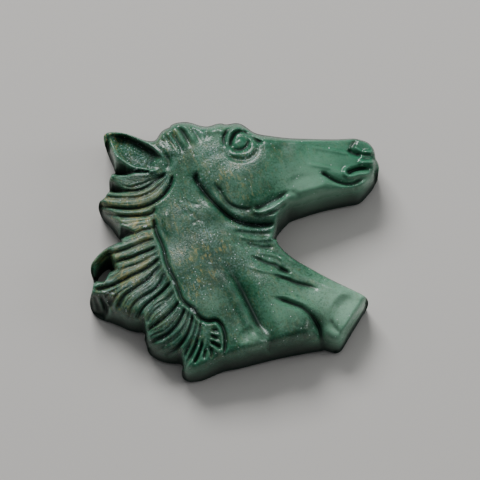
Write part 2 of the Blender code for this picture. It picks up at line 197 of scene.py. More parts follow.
NECK_STROKES = [
    ([(-3.4, -5.0), (-1.0, -9.4), (1.8, -14.8), (4.4, -20.5)], 1.5, -0.35, 0.3, 0.1),
    ([(6.6, -10.9), (8.8, -11.6), (10.8, -12.4), (12.8, -13.3), (14.7, -15.1), (15.9, -16.9), (16.5, -18.9),
      (16.9, -22.0)], 0.9, 1.15, 0.2, 0.0),
    ([(14.0, -14.6), (15.4, -16.6), (16.2, -19), (16.6, -22.2)], 2.0, 1.0, 0.4, 0.0),
    ([(7.4, -10.4), (10, -10.9), (12.8, -11.9), (15.9, -13.9), (18.2, -16.6)], 0.8, -0.25, 0.3, 0.3),
    ([(-0.8, 3.6), (2, 3.0), (5, 2.8), (7.4, 3.1)], 0.5, -0.25, 0.25, 0.2),
    ([(-1.0, 2.5), (1.5, 2.2), (4.5, 1.9), (7.4, 2.1)], 0.6, 0.4, 0.2, 0.2),
    ([(0.4, 1.6), (2.4, 1.0), (5.0, 0.8), (7.6, 1.1)], 0.6, -0.35, 0.25, 0.15),
    ([(1.4, 0.2), (3.4, -0.5), (5.5, -0.9), (7.8, -0.7)], 0.6, 0.5, 0.25, 0.2),
    ([(-0.6, 0.8), (0.8, -0.3), (2.6, -1.3)], 0.5, 0.2, 0.25, 0.25),
    ([(3.4, -1.6), (5.4, -2.0), (7.2, -2.3), (9.4, -3.4), (12.2, -5.9)], 0.7, -0.35, 0.25, 0.3),
    ([(1.9, -2.3), (4.1, -3.2), (5.9, -4.1), (7.7, -4.6), (9.0, -5.6), (10.8, -6.3)], 0.65, 0.85, 0.25, 0.15),
    ([(8.3, -4.8), (9.4, -5.7), (10.6, -6.1)], 0.7, 0.6, 0.3, 0.3),
    ([(8.4, -2.6), (9.0, -3.7), (9.3, -4.8)], 0.5, -0.4, 0.2, 0.3),
    ([(1.6, -4.3), (4.6, -5.4), (7.6, -6.0), (10.0, -6.7), (12.2, -7.8)], 0.6, -0.4, 0.3, 0.3),
    ([(6.6, -6.4), (9.3, -7.2), (11.6, -8.2), (13.6, -8.7), (16.4, -9.5)], 0.65, 0.8, 0.25, 0.2),
    ([(-11.2, 9.6), (-9.6, 8.7), (-8, 8.1), (-6.3, 8.0)], 0.4, 0.22, 0.3, 0.3),
    ([(-8.7, 4.1), (-8.0, 4.4), (-7.2, 4.9)], 0.3, 0.3, 0.2, 0.2),
    ([(-12.9, 7.3), (-13.6, 5), (-13.2, 3), (-12.6, 1)], 0.9, -0.2, 0.3, 0.3),
    ([(-10.6, 7.3), (-9.0, 6.2), (-7.4, 5.0), (-5.7, 3.6)], 1.1, 0.3, 0.3, 0.3),
]
FORELOCK_STROKES = [
    ([(-12.4, 24.8), (-11.3, 24.1), (-10.4, 23.0), (-9.7, 21.8), (-9.1, 20.6), (-8.5, 19.4)],
      0.85, 0.75, 0.45, 0.4),
    ([(-13.6, 24.0), (-12.6, 22.9), (-11.9, 21.8), (-11.2, 20.6), (-10.6, 19.4), (-10.2, 18.4)],
      0.65, 0.6, 0.45, 0.35),
    ([(-12.6, 24.2), (-11.6, 23.3), (-10.9, 22.2), (-10.1, 20.9), (-9.5, 19.6)], 0.55, -0.3, 0.3, 0.3),
    ([(-11.0, 24.9), (-10.0, 24.3), (-9.1, 23.0), (-8.4, 21.6), (-7.9, 20.3)], 0.9, -0.5, 0.3, 0.35),
    ([(-10.2, 24.9), (-8.9, 24.2), (-7.9, 22.9), (-7.1, 21.5), (-6.8, 20.2)], 0.8, 0.35, 0.4, 0.4),
    ([(-14.4, 23.0), (-13.5, 22.0), (-12.6, 20.8), (-11.9, 19.5), (-11.4, 18.4)], 0.5, 0.3, 0.4, 0.35),
    ([(-13.9, 23.4), (-12.9, 22.3), (-11.9, 20.9), (-11.1, 19.4)], 0.45, -0.25, 0.3, 0.3),
    ([(-15.1, 22.0), (-14.1, 21.0), (-13.2, 19.8), (-12.6, 18.8)], 0.45, 0.25, 0.3, 0.3),
    ([(-10.7, 24.2), (-9.8, 22.9), (-9.0, 21.5), (-8.4, 20.3)], 0.25, 0.16, 0.3, 0.3),
    ([(-9.5, 24.4), (-8.5, 23.1), (-7.7, 21.5)], 0.25, 0.16, 0.3, 0.3),
    ([(-12.1, 23.5), (-11.3, 22.2), (-10.4, 20.7), (-9.9, 19.6)], 0.22, 0.13, 0.3, 0.3),
    ([(-13.3, 22.8), (-12.4, 21.6), (-11.5, 20.1)], 0.22, 0.12, 0.3, 0.3),
    ([(-6.3, 24.5), (-5.7, 23.0), (-5.9, 21.2)], 1.1, 0.4, 0.3, 0.3),
]
EAR_STROKES = [
    ([(-25.6, 22.2), (-24.4, 22.95), (-22.3, 22.75), (-20, 21.95), (-17.8, 20.8), (-15.6, 19.3),
      (-14.2, 17.9), (-13.9, 16.8)], 0.7, -0.35, 0.1, 0.2),
    ([(-25.5, 22), (-24.6, 19.8), (-23.2, 18.1), (-21.4, 16.7), (-19.6, 15.6), (-17.8, 15.1), (-16, 15.0),
      (-14.4, 15.6)], 0.55, -0.6, 0.1, 0.2),
    ([(-14.1, 18.6), (-13.2, 17.4), (-13.1, 16.2), (-14, 15.2)], 0.7, 0.45, 0.3, 0.3),
]
MANE_LINE = [(-16.2, 6.6), (-15.8, 4), (-15.3, 2), (-14.6, 0.4), (-13.9, -1.5), (-13.5, -3.5), (-12.8, -5.5),
             (-11.8, -7.5), (-11.1, -9.5), (-10.3, -11.6), (-9.1, -12.8), (-8.1, -13.5), (-7.3, -14.8),
             (-6.3, -15.6), (-5.2, -15.9), (-4.2, -15.75), (-3.4, -16.0), (-2.6, -17.0), (-2.1, -18.5),
             (-2.0, -20.1), (-2.1, -21.7), (-2.4, -23.4)]
MANE_LINE_CUT = (0.6, 1.4, 0.06, 0.06)
MANE_LIP = (-0.55, -0.2)     # where a low lip runs, measured from the mane line
MANE_LIP_POINTS = 14
MANE_LIP_CUT = (0.4, -0.14, 0.1, 0.1)
FAN_SLOTS = [
    ([(-4.8, -17.6), (-4.0, -17.8), (-3.3, -17.8)], 0.38, 0.7, 0.3, 0.25),
    ([(-5.0, -18.7), (-4.2, -19.1), (-3.4, -19.7)], 0.45, 0.9, 0.3, 0.25),
    ([(-5.0, -19.9), (-3.9, -20.6), (-2.6, -21.4)], 0.55, 1.3, 0.3, 0.25),
    ([(-5.1, -21.0), (-4.6, -22.2), (-4.7, -23.8)], 0.4, 1.0, 0.3, 0.2),
    ([(-5.8, -21.3), (-5.95, -22.4), (-6.1, -23.8)], 0.42, 1.0, 0.3, 0.2),
    ([(-6.3, -19.2), (-6.6, -21.2), (-7.4, -23.2), (-8.2, -24.8)], 0.55, 1.4, 0.3, 0.2),
    ([(-7.6, -18.9), (-7.5, -20.7), (-8.1, -22.5), (-9.0, -24.6)], 0.4, 0.8, 0.3, 0.2),
    ([(-5.0, -16.7), (-3.8, -16.5), (-2.95, -17.8), (-2.55, -19.5), (-2.6, -21.4), (-2.9, -23.3)],
      0.5, -0.4, 0.2, 0.1),
    ([(-5.0, -18.2), (-4.0, -18.5), (-2.9, -18.8)], 0.4, -0.3, 0.3, 0.2),
    ([(-5.1, -19.3), (-4.0, -19.9), (-2.9, -20.6)], 0.4, -0.35, 0.3, 0.2),
    ([(-5.1, -20.4), (-3.9, -21.4), (-2.8, -22.9)], 0.45, -0.4, 0.3, 0.2),
    ([(-5.9, -19.2), (-6.2, -21.2), (-7.0, -23.6)], 0.45, -0.4, 0.3, 0.2),
    ([(-6.9, -19.8), (-7.2, -21.3), (-8.2, -23.4), (-9.7, -26.4)], 0.5, -0.55, 0.3, 0.1),
]
MANE_STROKES = [
    ([(-27.5, -10.2), (-27.0, -12.2), (-26.5, -14.6)], 0.6, 0.6, 0.3, 0.2),
    ([(-26.2, -10.6), (-25.4, -12.6), (-24.8, -15.0)], 0.55, 0.55, 0.3, 0.2),
    ([(-24.8, -11.0), (-24.0, -13.0), (-23.4, -15.4)], 0.6, 0.6, 0.3, 0.2),
    ([(-26.9, -10.4), (-26.2, -12.4), (-25.6, -14.8)], 0.5, -0.35, 0.3, 0.2),
    ([(-25.5, -10.8), (-24.7, -12.8), (-24.1, -15.2)], 0.5, -0.35, 0.3, 0.2),
]

# ledges: points, drop, reach, softness of the edge, fade at the start and at the end
LEDGES = [
    (JAW_LINE, 1.3, 2.4, 0.3, 0.15, 0.15),
    ([(-4.3, 12.5), (-2.8, 10.9), (-2.1, 9.6), (-1.2, 8.4), (0.3, 7.6), (1.9, 7.3), (3.4, 7.7)],
     0.8, 2.0, 0.25, 0.15, 0.15),
    ([(3.2, 7.3), (4.5, 8.1), (6.5, 9.4), (8.5, 10.3), (10.6, 11.0)], 0.4, 1.4, 0.3, 0.15, 0.15),
    ([(16.2, 14.9), (17.4, 14.2), (18.5, 13.4), (19.9, 12.7), (21.4, 12.3), (22.7, 12.4), (24.1, 13.0)],
     0.35, 1.2, 0.2, 0.15, 0.15),
    ([(18.4, -15.2), (19.3, -17.0), (21.0, -18.9), (21.7, -16.6), (23.2, -15.9), (25.0, -15.2)],
     0.4, 1.8, 0.12, 0.1, 0.1),
    ([(6.3, -22.5), (5.0, -19.0), (2.9, -14.4), (0.3, -8.9), (-2.6, -3.4)], 2.7, 4.4, 0.8, 0.0, 0.35),
]
# facets: points, rise, reach, fade at the start and at the end
SLOPES = [
    ([(-28.8, -10.1), (-25.7, -10.3), (-22.8, -11.3)], 1.1, 6.0, 0.0, 0.25),
    ([(19.2, -19.8), (20.6, -17.6), (22.2, -15.2), (24.0, -12.9), (26.4, -11.2)], 0.9, 4.0, 0.3, 0.0),
    ([(25.2, -12.0), (20, -9.9), (16, -8.1), (12.5, -6.4), (10, -4.6)], 0.55, 3.0, 0.1, 0.3),
    ([(25.9, 10.9), (26.4, 12.5), (26.7, 14.5), (26.6, 17.0), (26.0, 19.5)], 2.0, 2.2, 0.15, 0.3),
    ([(9.5, 9.8), (12, 9.9), (15, 10.1), (18, 10.6), (21, 11), (24, 11.2)], 0.2, 4.0, 0.3, 0.2),
]

# hair guides: every lock of hair lies between two neighbouring ones
MANE_GUIDES = [
    [(-16.2, 2.4), (-18.3, 2.0), (-20.5, 1.1), (-23.0, -0.1), (-25.5, -1.4), (-27.4, -3.4), (-28.1, -5.4)],
    [(-15.6, 0.9), (-17.5, 0.4), (-19.5, -0.5), (-21.5, -1.3), (-23.3, -1.9), (-25.2, -2.5), (-27.2, -4.4)],
    [(-15.2, -0.6), (-16.8, -1.5), (-18.8, -2.3), (-20.4, -3.0), (-21.8, -3.4), (-22.8, -3.7),
      (-23.7, -4.2)],
    [(-14.9, -1.6), (-16.5, -2.9), (-18.2, -3.9), (-20.0, -4.7), (-22.0, -5.4), (-23.4, -6.2),
      (-24.6, -7.2)],
    [(-14.5, -2.8), (-16.1, -4.3), (-17.8, -5.5), (-20.0, -6.6), (-22.0, -7.7), (-24.0, -8.7),
      (-26.8, -9.4)],
    [(-14.1, -4.3), (-15.7, -5.8), (-17.0, -7.3), (-18.7, -8.7), (-20.2, -9.8), (-21.5, -10.9),
      (-22.6, -13.4)],
    [(-13.4, -5.8), (-14.2, -7.5), (-15.2, -9.0), (-16.5, -10.1), (-18.0, -11.1), (-19.6, -12.5),
      (-20.8, -15.2)],
    [(-12.5, -7.8), (-13.6, -9.3), (-15.0, -10.6), (-16.3, -11.7), (-17.4, -12.7), (-18.2, -13.8),
      (-18.9, -15.3)],
    [(-11.6, -9.6), (-12.8, -11.2), (-14.1, -12.5), (-15.2, -13.4), (-16.0, -14.2), (-16.6, -15.0),
      (-17.0, -16)],
    [(-10.7, -11.5), (-11.7, -13.1), (-13.0, -14.6), (-14.4, -15.8), (-15.6, -16.7), (-16.6, -17.5),
      (-17.6, -18.4)],
    [(-9.6, -12.8), (-10.3, -14.8), (-11.3, -16.7), (-12.7, -18.2), (-14.2, -19.3), (-15.8, -20.1),
      (-17.2, -20.7)],
    [(-8.9, -13.4), (-9.4, -15.8), (-10.4, -17.9), (-11.8, -19.5), (-13.3, -20.6), (-14.8, -21.4),
      (-16.2, -22.1)],
    [(-8.2, -14.0), (-8.5, -16.4), (-9.2, -18.4), (-10.2, -20.1), (-11.3, -21.3), (-12.2, -22.1),
      (-13.2, -22.9)],
    [(-7.4, -14.9), (-7.8, -17.4), (-8.4, -19.6), (-9.1, -21.4), (-9.7, -22.8), (-10.1, -23.8),
      (-10.4, -24.9)],
    [(-6.6, -15.6), (-6.9, -18.0), (-7.5, -20.2), (-8.3, -22.3), (-9.1, -24.0), (-9.7, -25.4),
      (-10.1, -26.8)],
]
MANE_LOCKS = [(0, 1, 0.3, 2, 0.35), (1, 2, 0.3, 3, 0.5), (2, 3, 0.25, 3, 0.55), (3, 4, 0.35, 3, 0.6),
              (4, 5, 0.35, 3, 0.6), (5, 6, 0.4, 3, 0.7), (6, 7, 0.35, 2, 0.65), (7, 8, 0.3, 2, 0.6),
              (8, 9, 0.25, 2, 0.5), (9, 10, 0.4, 3, 0.6), (10, 11, 0.3, 2, 0.55), (11, 12, 0.3, 2, 0.55),
              (12, 13, 0.3, 2, 0.45), (13, 14, 0.25, 1, 0.3)]
SIDE_GUIDES = [
    [(-12.2, 15.0), (-14.5, 14.7), (-17.0, 14.2), (-19.5, 14.1), (-21.6, 14.1), (-23.4, 14.2)],
    [(-13.2, 14.4), (-15.0, 13.8), (-17.0, 12.8), (-19.0, 12.0), (-21.0, 11.6), (-24.4, 13.0)],
    [(-13.6, 14.2), (-15.2, 13.2), (-17.0, 11.9), (-19.0, 11.0), (-21.6, 10.8), (-24.9, 10.9)],
    [(-13.2, 14.2), (-14.6, 12.3), (-16.3, 10.7), (-18.8, 9.5), (-21.6, 9.3), (-25.4, 9.6)],
    [(-12.3, 14.4), (-12.7, 12.0), (-14.4, 9.6), (-17.2, 7.8), (-21.0, 7.1), (-26.7, 7.8)],
    [(-15.9, 7.4), (-16.0, 6.4), (-17.6, 5.8), (-20.0, 5.6), (-22.4, 5.6), (-26.2, 6.4)],
    [(-15.6, 3.2), (-16.6, 2.9), (-17.8, 2.7), (-19.2, 2.0), (-20.4, 1.5), (-21.6, 1.2)],
]
SIDE_LOCKS = [(0, 1, -0.35, 1, 0.1), (1, 2, 0.2, 1, 0.15), (2, 3, 0.4, 2, 0.35), (3, 4, 0.5, 3, 0.35),
              (4, 5, 0.4, 2, 0.3), (5, 6, 0.5, 3, 0.25)]
GAP_DEPTH = 0.7
GAP_WIDTH = 0.5
GAP_UNEVENNESS = 0.6

EAR_UPPER = [
    (-25.1, 22.5), (-23.4, 22.7), (-21.1, 22.2), (-18.6, 21.0), (-16.4, 19.6), (-14.8, 18.2), (-14.2, 17.0),
]
EAR_LOWER = [
    (-25.2, 22.2), (-24.2, 20.2), (-22.6, 18.2), (-20.6, 16.6), (-18.4, 15.6), (-16.2, 15.4), (-14.4, 16.2),
]
EAR_DEPTH = 3.3

# crevices: plan points, each with the height of the crevice's floor
CREVICES = [
    [(-24.2, 14.6, 0.4), (-23, 14.3, 0.8), (-22, 14.3, 2.0), (-21, 14.45, 4.4), (-19.6, 14.8, 7.3),
      (-17, 14.75, 8.3)],
    [(-25.2, 10.9, 0.6), (-24, 10.75, 1.6), (-22.8, 10.7, 4.0), (-21.4, 10.8, 6.6), (-20, 11.0, 7.9)],
    [(-22.9, 0.7, 0.6), (-22.0, 1.2, 2.0), (-21.0, 1.7, 4.6), (-19.8, 2.1, 7.4)],
]
CREVICE_WIDTH = 0.12         # from the middle to each side

MOUND_FALLOFF = 1.5
# soft swellings and dips: centre, radii, angle in degrees, height
MOUNDS = [
    ((0.8, 21.1), (2.6, 2.3), 20, -0.9), ((0.75, 20.95), (1.8, 1.6), 25, 1.1),
    ((25.3, 12.3), (1.4, 1.2), 40, 0.9), ((20.2, 14.6), (2.6, 1.2), -25, 0.35),
    ((-13.4, 19.6), (2.8, 1.6), -25, 0.45), ((-4.3, 23.8), (1.9, 1.3), 0, 0.3),
    ((-24.6, 6.1), (1.5, 0.7), -20, -0.5), ((-24.0, 14.0), (0.6, 0.6), 0, 0.4),
    ((3.0, 20.6), (0.9, 0.7), 40, 0.3), ((-20.0, 18.2), (3.2, 1.6), -35, 0.25),
]
# polished flats that catch the key light: centre, radii, angle in degrees, strength
FLATS = [
    ((3.6, -19.8), (3.6, 3.4), 15, 0.6), ((22.6, -14.4), (4.8, 4.6), -30, 0.5),
    ((14.0, 12.4), (4.5, 2.4), 5, 0.3),
]
FLAT_TILT = (0.167, -0.27)   # rise towards +X and +Y that mirrors the key light into the camera
# veins and patches in the stone, and patches of painted highlight, sheen and shade: centre, radius, strength
OCHRE_PLACES = [
    (-18.6, 5.2, 2.2, 0.8), (-18.2, 3.4, 2.2, 1.0), (-21.0, -7.0, 2.2, 0.9), (-18.8, 0.8, 2.0, 0.6),
    (-24.8, 22.0, 2.4, 1.0), (-22.6, 20.2, 1.8, 0.5), (-25.0, 10.0, 1.8, 0.75), (-19.5, 8.0, 3.0, 0.8),
    (-25.5, 7.5, 1.8, 0.7), (-23.8, 5.5, 1.5, 0.6), (-24.3, 13.8, 1.0, 0.7), (-25.0, -3.0, 2.5, 0.7),
    (-19.5, -4.5, 3.4, 0.8), (-25.5, -10.5, 2.6, 0.7), (-22.5, -12.5, 2.6, 0.6), (-15.8, 10.5, 2.0, 0.45),
    (-13.0, 21.8, 2.2, 0.45), (-0.5, 13.0, 3.6, 0.3), (1.5, 9.8, 3.0, 0.2), (-5.0, 14.5, 2.0, 0.3),
    (-8.0, -7.5, 3.6, 0.6), (-6.5, -2.5, 3.4, 0.45), (-10.5, 5.5, 2.6, 0.35), (-3.0, -1.0, 2.0, 0.35),
    (-11.0, -1.0, 2.4, 0.4), (2.5, 17.0, 2.4, 0.25), (16.2, -10.0, 1.8, 0.3), (-15.5, -15.5, 2.4, 0.3),
    (-9.8, 17.5, 2.0, 0.3),
]
# milky stone at the chest end, and painted highlights on the neck, jaw, chin and leaf-shaped hollow
PALE_AND_HIGHLIGHT_PLACES = [
    (20.0, -11.5, 5.2, 0.95), (24.0, -13.0, 4.0, 0.9), (19.5, -18.5, 3.2, 0.6), (12.0, -9.5, 4.5, 0.3),
    (12.5, 12.5, 4.6, 0.45), (15.0, 9.3, 3.2, 0.3), (20.0, 10.5, 3.0, 0.25), (17.0, 16.0, 5.0, 0.2),
    (-7.5, 7.0, 3.6, 0.1), (3.6, -19.5, 2.4, 0.6), (25.0, 12.8, 1.8, 0.6), (-4.8, -12.0, 2.6, 0.35),
    (12.5, 9.8, 3.0, 0.25), (5.2, 6.9, 1.1, 0.6), (7.6, 7.8, 1.1, 0.5), (8.0, -14.0, 4.0, 0.2),
    (-9.0, 15.0, 3.4, 0.1), (-4.0, 22.5, 2.4, 0.3), (0.0, 10.2, 2.4, 0.2), (-9.0, 22.8, 2.4, 0.25),
    (-18.0, 3.6, 1.6, 0.25), (7.0, -4.0, 3.0, 0.2), (-9.5, -16.0, 2.0, 0.2), (3.0, 0.5, 5.0, 0.2),
]
VIVID_PLACES = [
    (23.0, 16.5, 7.0, 0.9), (15.0, 19.0, 6.0, 0.6), (9.0, -14.0, 3.5, 0.4), (1.0, 21.0, 3.0, 0.5),
    (-9.0, -26.0, 4.0, 0.5), (16.0, 9.5, 6.0, 0.8), (10.0, 7.0, 4.0, 0.5), (19.0, -20.0, 3.5, 0.4),
    (-26.0, -14.0, 3.0, 0.3),
]
# blue-grey stone, and a painted sheen over the mane, neck and cheek
GREY_SHEEN_PLACES = [
    (-20.0, -8.0, 8.5, 0.9), (-13.0, -17.0, 6.0, 0.7), (-19.0, 10.5, 5.5, 0.7), (-19.0, 18.5, 4.0, 0.6),
    (-10.5, 22.5, 3.5, 0.4), (-8.0, 0.0, 7.0, 0.8), (-2.0, 12.5, 6.0, 0.75), (6.0, -4.0, 6.0, 0.3),
    (1.0, -14.0, 3.0, 0.4),
]
# dark patches: mostly painted shade in valleys, grooves and on low walls, partly darker stone
DARK_AND_SHADE_PLACES = [
    (-1.6, -6.5, 1.5, 0.5), (0.2, -9.5, 1.6, 0.7), (1.8, -12.6, 1.7, 0.75), (3.4, -15.6, 1.8, 0.75),
    (5.3, -18.6, 1.8, 0.6), (7.0, -21.0, 1.8, 0.6), (12.5, -18.0, 3.0, 0.6), (15.0, -14.5, 1.8, 0.5),
    (8.8, -5.0, 1.8, 0.5), (12.5, -8.4, 1.5, 0.5), (-6.0, 11.0, 1.8, 0.6), (-2.5, 11.5, 1.6, 0.4),
    (2.5, 14.0, 1.6, 0.3), (5.5, 12.0, 1.8, 0.3), (3.0, 5.3, 3.0, 0.6), (-1.5, 8.0, 1.8, 0.6),
    (9.5, 5.5, 2.5, 0.6), (-4.0, -5.0, 3.0, 0.4), (-9.0, 1.5, 2.6, 0.3), (-18.0, -9.0, 5.0, 0.3),
    (-19.0, 11.0, 3.5, 0.3), (-13.0, -17.0, 3.5, 0.25), (-24.5, -13.0, 2.6, 0.9), (-26.5, -11.5, 2.2, 0.95),
    (-10.5, 19.0, 2.0, 0.4), (-15.5, 19.0, 2.0, 0.5), (22.8, 20.3, 1.3, 0.5), (-14.0, 23.6, 1.2, 0.6),
    (-10.5, 25.3, 1.2, 0.5), (-19.0, 21.0, 1.4, 0.3), (-20.5, 17.5, 2.2, 0.35), (-16.5, -20.0, 2.0, 0.6),
    (-21.0, -15.5, 2.0, 0.7),
]
SPECK_PLACES = [
    (-18.3, 16.9, 2.6, 0.9), (-21.5, 19.5, 2.0, 0.7), (-6.2, 13.6, 1.8, 0.7), (-5.4, 2.0, 1.7, 0.95),
    (-9.5, 8.0, 2.2, 0.6), (1.0, 4.3, 1.6, 0.9), (5.0, 3.4, 1.8, 0.7), (-4.6, 18.4, 2.2, 0.9),
    (2.2, 17.8, 1.5, 0.8), (0.5, -4.0, 2.6, 0.5), (-17.5, -7.0, 4.5, 0.6), (-7.0, 23.6, 1.4, 0.85),
    (-24.0, -10.0, 2.0, 0.6), (-12.5, 19.5, 2.0, 0.6), (4.5, -2.0, 2.4, 0.5), (-13.5, -16.0, 3.0, 0.6),
    (-16.0, 11.0, 2.6, 0.5), (7.0, 8.0, 1.4, 0.8), (-8.0, -9.0, 3.0, 0.4),
]
# small chips and painted glints: centre, radii, angle in degrees
CHIPS_AND_GLINTS = [
    ((-8.2, -13.8), (0.85, 0.3), -50), ((-17.6, 3.5), (0.5, 0.25), 20), ((-24.6, -10.1), (1.3, 0.22), -12),
    ((-12.0, -8.1), (0.75, 0.17), -62), ((-19.6, 15.4), (0.5, 0.25), 25),
]
IRIS_CENTRE = (0.8, 21.4)
IRIS_RADIUS = 0.8
IRIS_CUT = (0.24, 0.13, 0, 0)
IRIS_POINTS = 17

# studio: place, size and setting that holds the power of each soft light
SOFTBOXES = (("key_softbox", (-0.3, 0.85, 0.75), (0.6, 0.42), "key_power"),
             ("side_softbox", (0.9, 0.1, 0.42), (0.3, 0.3), "side_power"),
             ("overhead_softbox", (0.0, 0.45, 1.15), (1.7, 1.2), "overhead_power"))
AMBIENT_COLOUR = (0.9, 0.95, 1.0, 1.0)
AMBIENT_STRENGTH = 0.12
FLOOR_HALF_SIZE = 1.5
FLOOR_ROUGHNESS = 0.9
AIM = (0.8, 3.6)             # plan point in the middle of the camera's view


def smooth_step(t):
    """0 to 1 with level ends."""
    t = np.clip(t, 0, 1)
    return t * t * (3 - 2 * t)


def spline(points, closed=False, steps=6):
    """Smooth curve through the points (Catmull-Rom)."""
    knots = np.array(points, float)
    if closed:
        knots = np.vstack([knots[-1], knots, knots[:2]])
    else:
        knots = np.vstack([2 * knots[0] - knots[1], knots, 2 * knots[-1] - knots[-2]])
    t = np.linspace(0, 1, steps, endpoint=False)[:, None]
    spans = []
    for a, b, c, d in zip(knots, knots[1:], knots[2:], knots[3:]):
        spans.append(0.5 * (2 * b + (c - a) * t + (2 * a - 5 * b + 4 * c - d) * t ** 2
                            + (3 * b - a - 3 * c + d) * t ** 3))
    if not closed:
        spans.append(knots[-2:-1])
    return np.vstack(spans)


def ring(loop):
    """The loop with its first point again at the end."""
    return np.vstack([loop, loop[:1]])


def nearest(x, y, path):
    """Distance to the path, share of the way along it, nearest point of it, and side (above 0 on its left)."""
    best = np.full(x.shape, np.inf)
    along, near_x, near_y, side = (np.zeros(x.shape) for _ in range(4))
    for index, (start, end) in enumerate(zip(path, path[1:])):
        step = end - start
        t = np.clip(((x - start[0]) * step[0] + (y - start[1]) * step[1]) / (step @ step), 0, 1)
        px, py = start[0] + t * step[0], start[1] + t * step[1]
        away = (x - px) ** 2 + (y - py) ** 2
        closer = away < best
        best = np.where(closer, away, best)
        along = np.where(closer, (index + t) / (len(path) - 1), along)
        near_x, near_y = np.where(closer, px, near_x), np.where(closer, py, near_y)
        side = np.where(closer, step[0] * (y - py) - step[1] * (x - px), side)
    return np.sqrt(best), along, near_x, near_y, np.sign(side)


def inside(x, y, loop):
    """True where the point lies inside the closed loop."""
    result = np.zeros(x.shape, bool)
    for (ax, ay), (bx, by) in zip(loop, np.roll(loop, -1, axis=0)):
        crosses = (ay > y) != (by > y)
        reach = ax + (y - ay) * (bx - ax) / (by - ay if by != ay else 1e-9)
        result ^= crosses & (x < reach)
    return result


def fade_ends(along, start, end):
    """0 at the ends of a path, 1 between. Start and end are the shares of its length that the fades take."""
    return smooth_step(along / start if start else 1.0) * smooth_step((1 - along) / end if end else 1.0)


def soft_min(a, b, rounding):
    """Lower of two heights, blended where they meet."""
    blend = np.maximum(rounding - np.abs(a - b), 0) / rounding
    return np.minimum(a, b) - blend ** 2 * rounding / 4


def blur(field, passes):
    """Evens out a field of heights, a few neighbours at a time."""
    for _ in range(passes):
        wide = np.pad(field, 1, mode='edge')
        field = (wide[1:-1, :-2] + 2 * wide[1:-1, 1:-1] + wide[1:-1, 2:]) / 4
        wide = np.pad(field, 1, mode='edge')
        field = (wide[:-2, 1:-1] + 2 * wide[1:-1, 1:-1] + wide[2:, 1:-1]) / 4
    return field


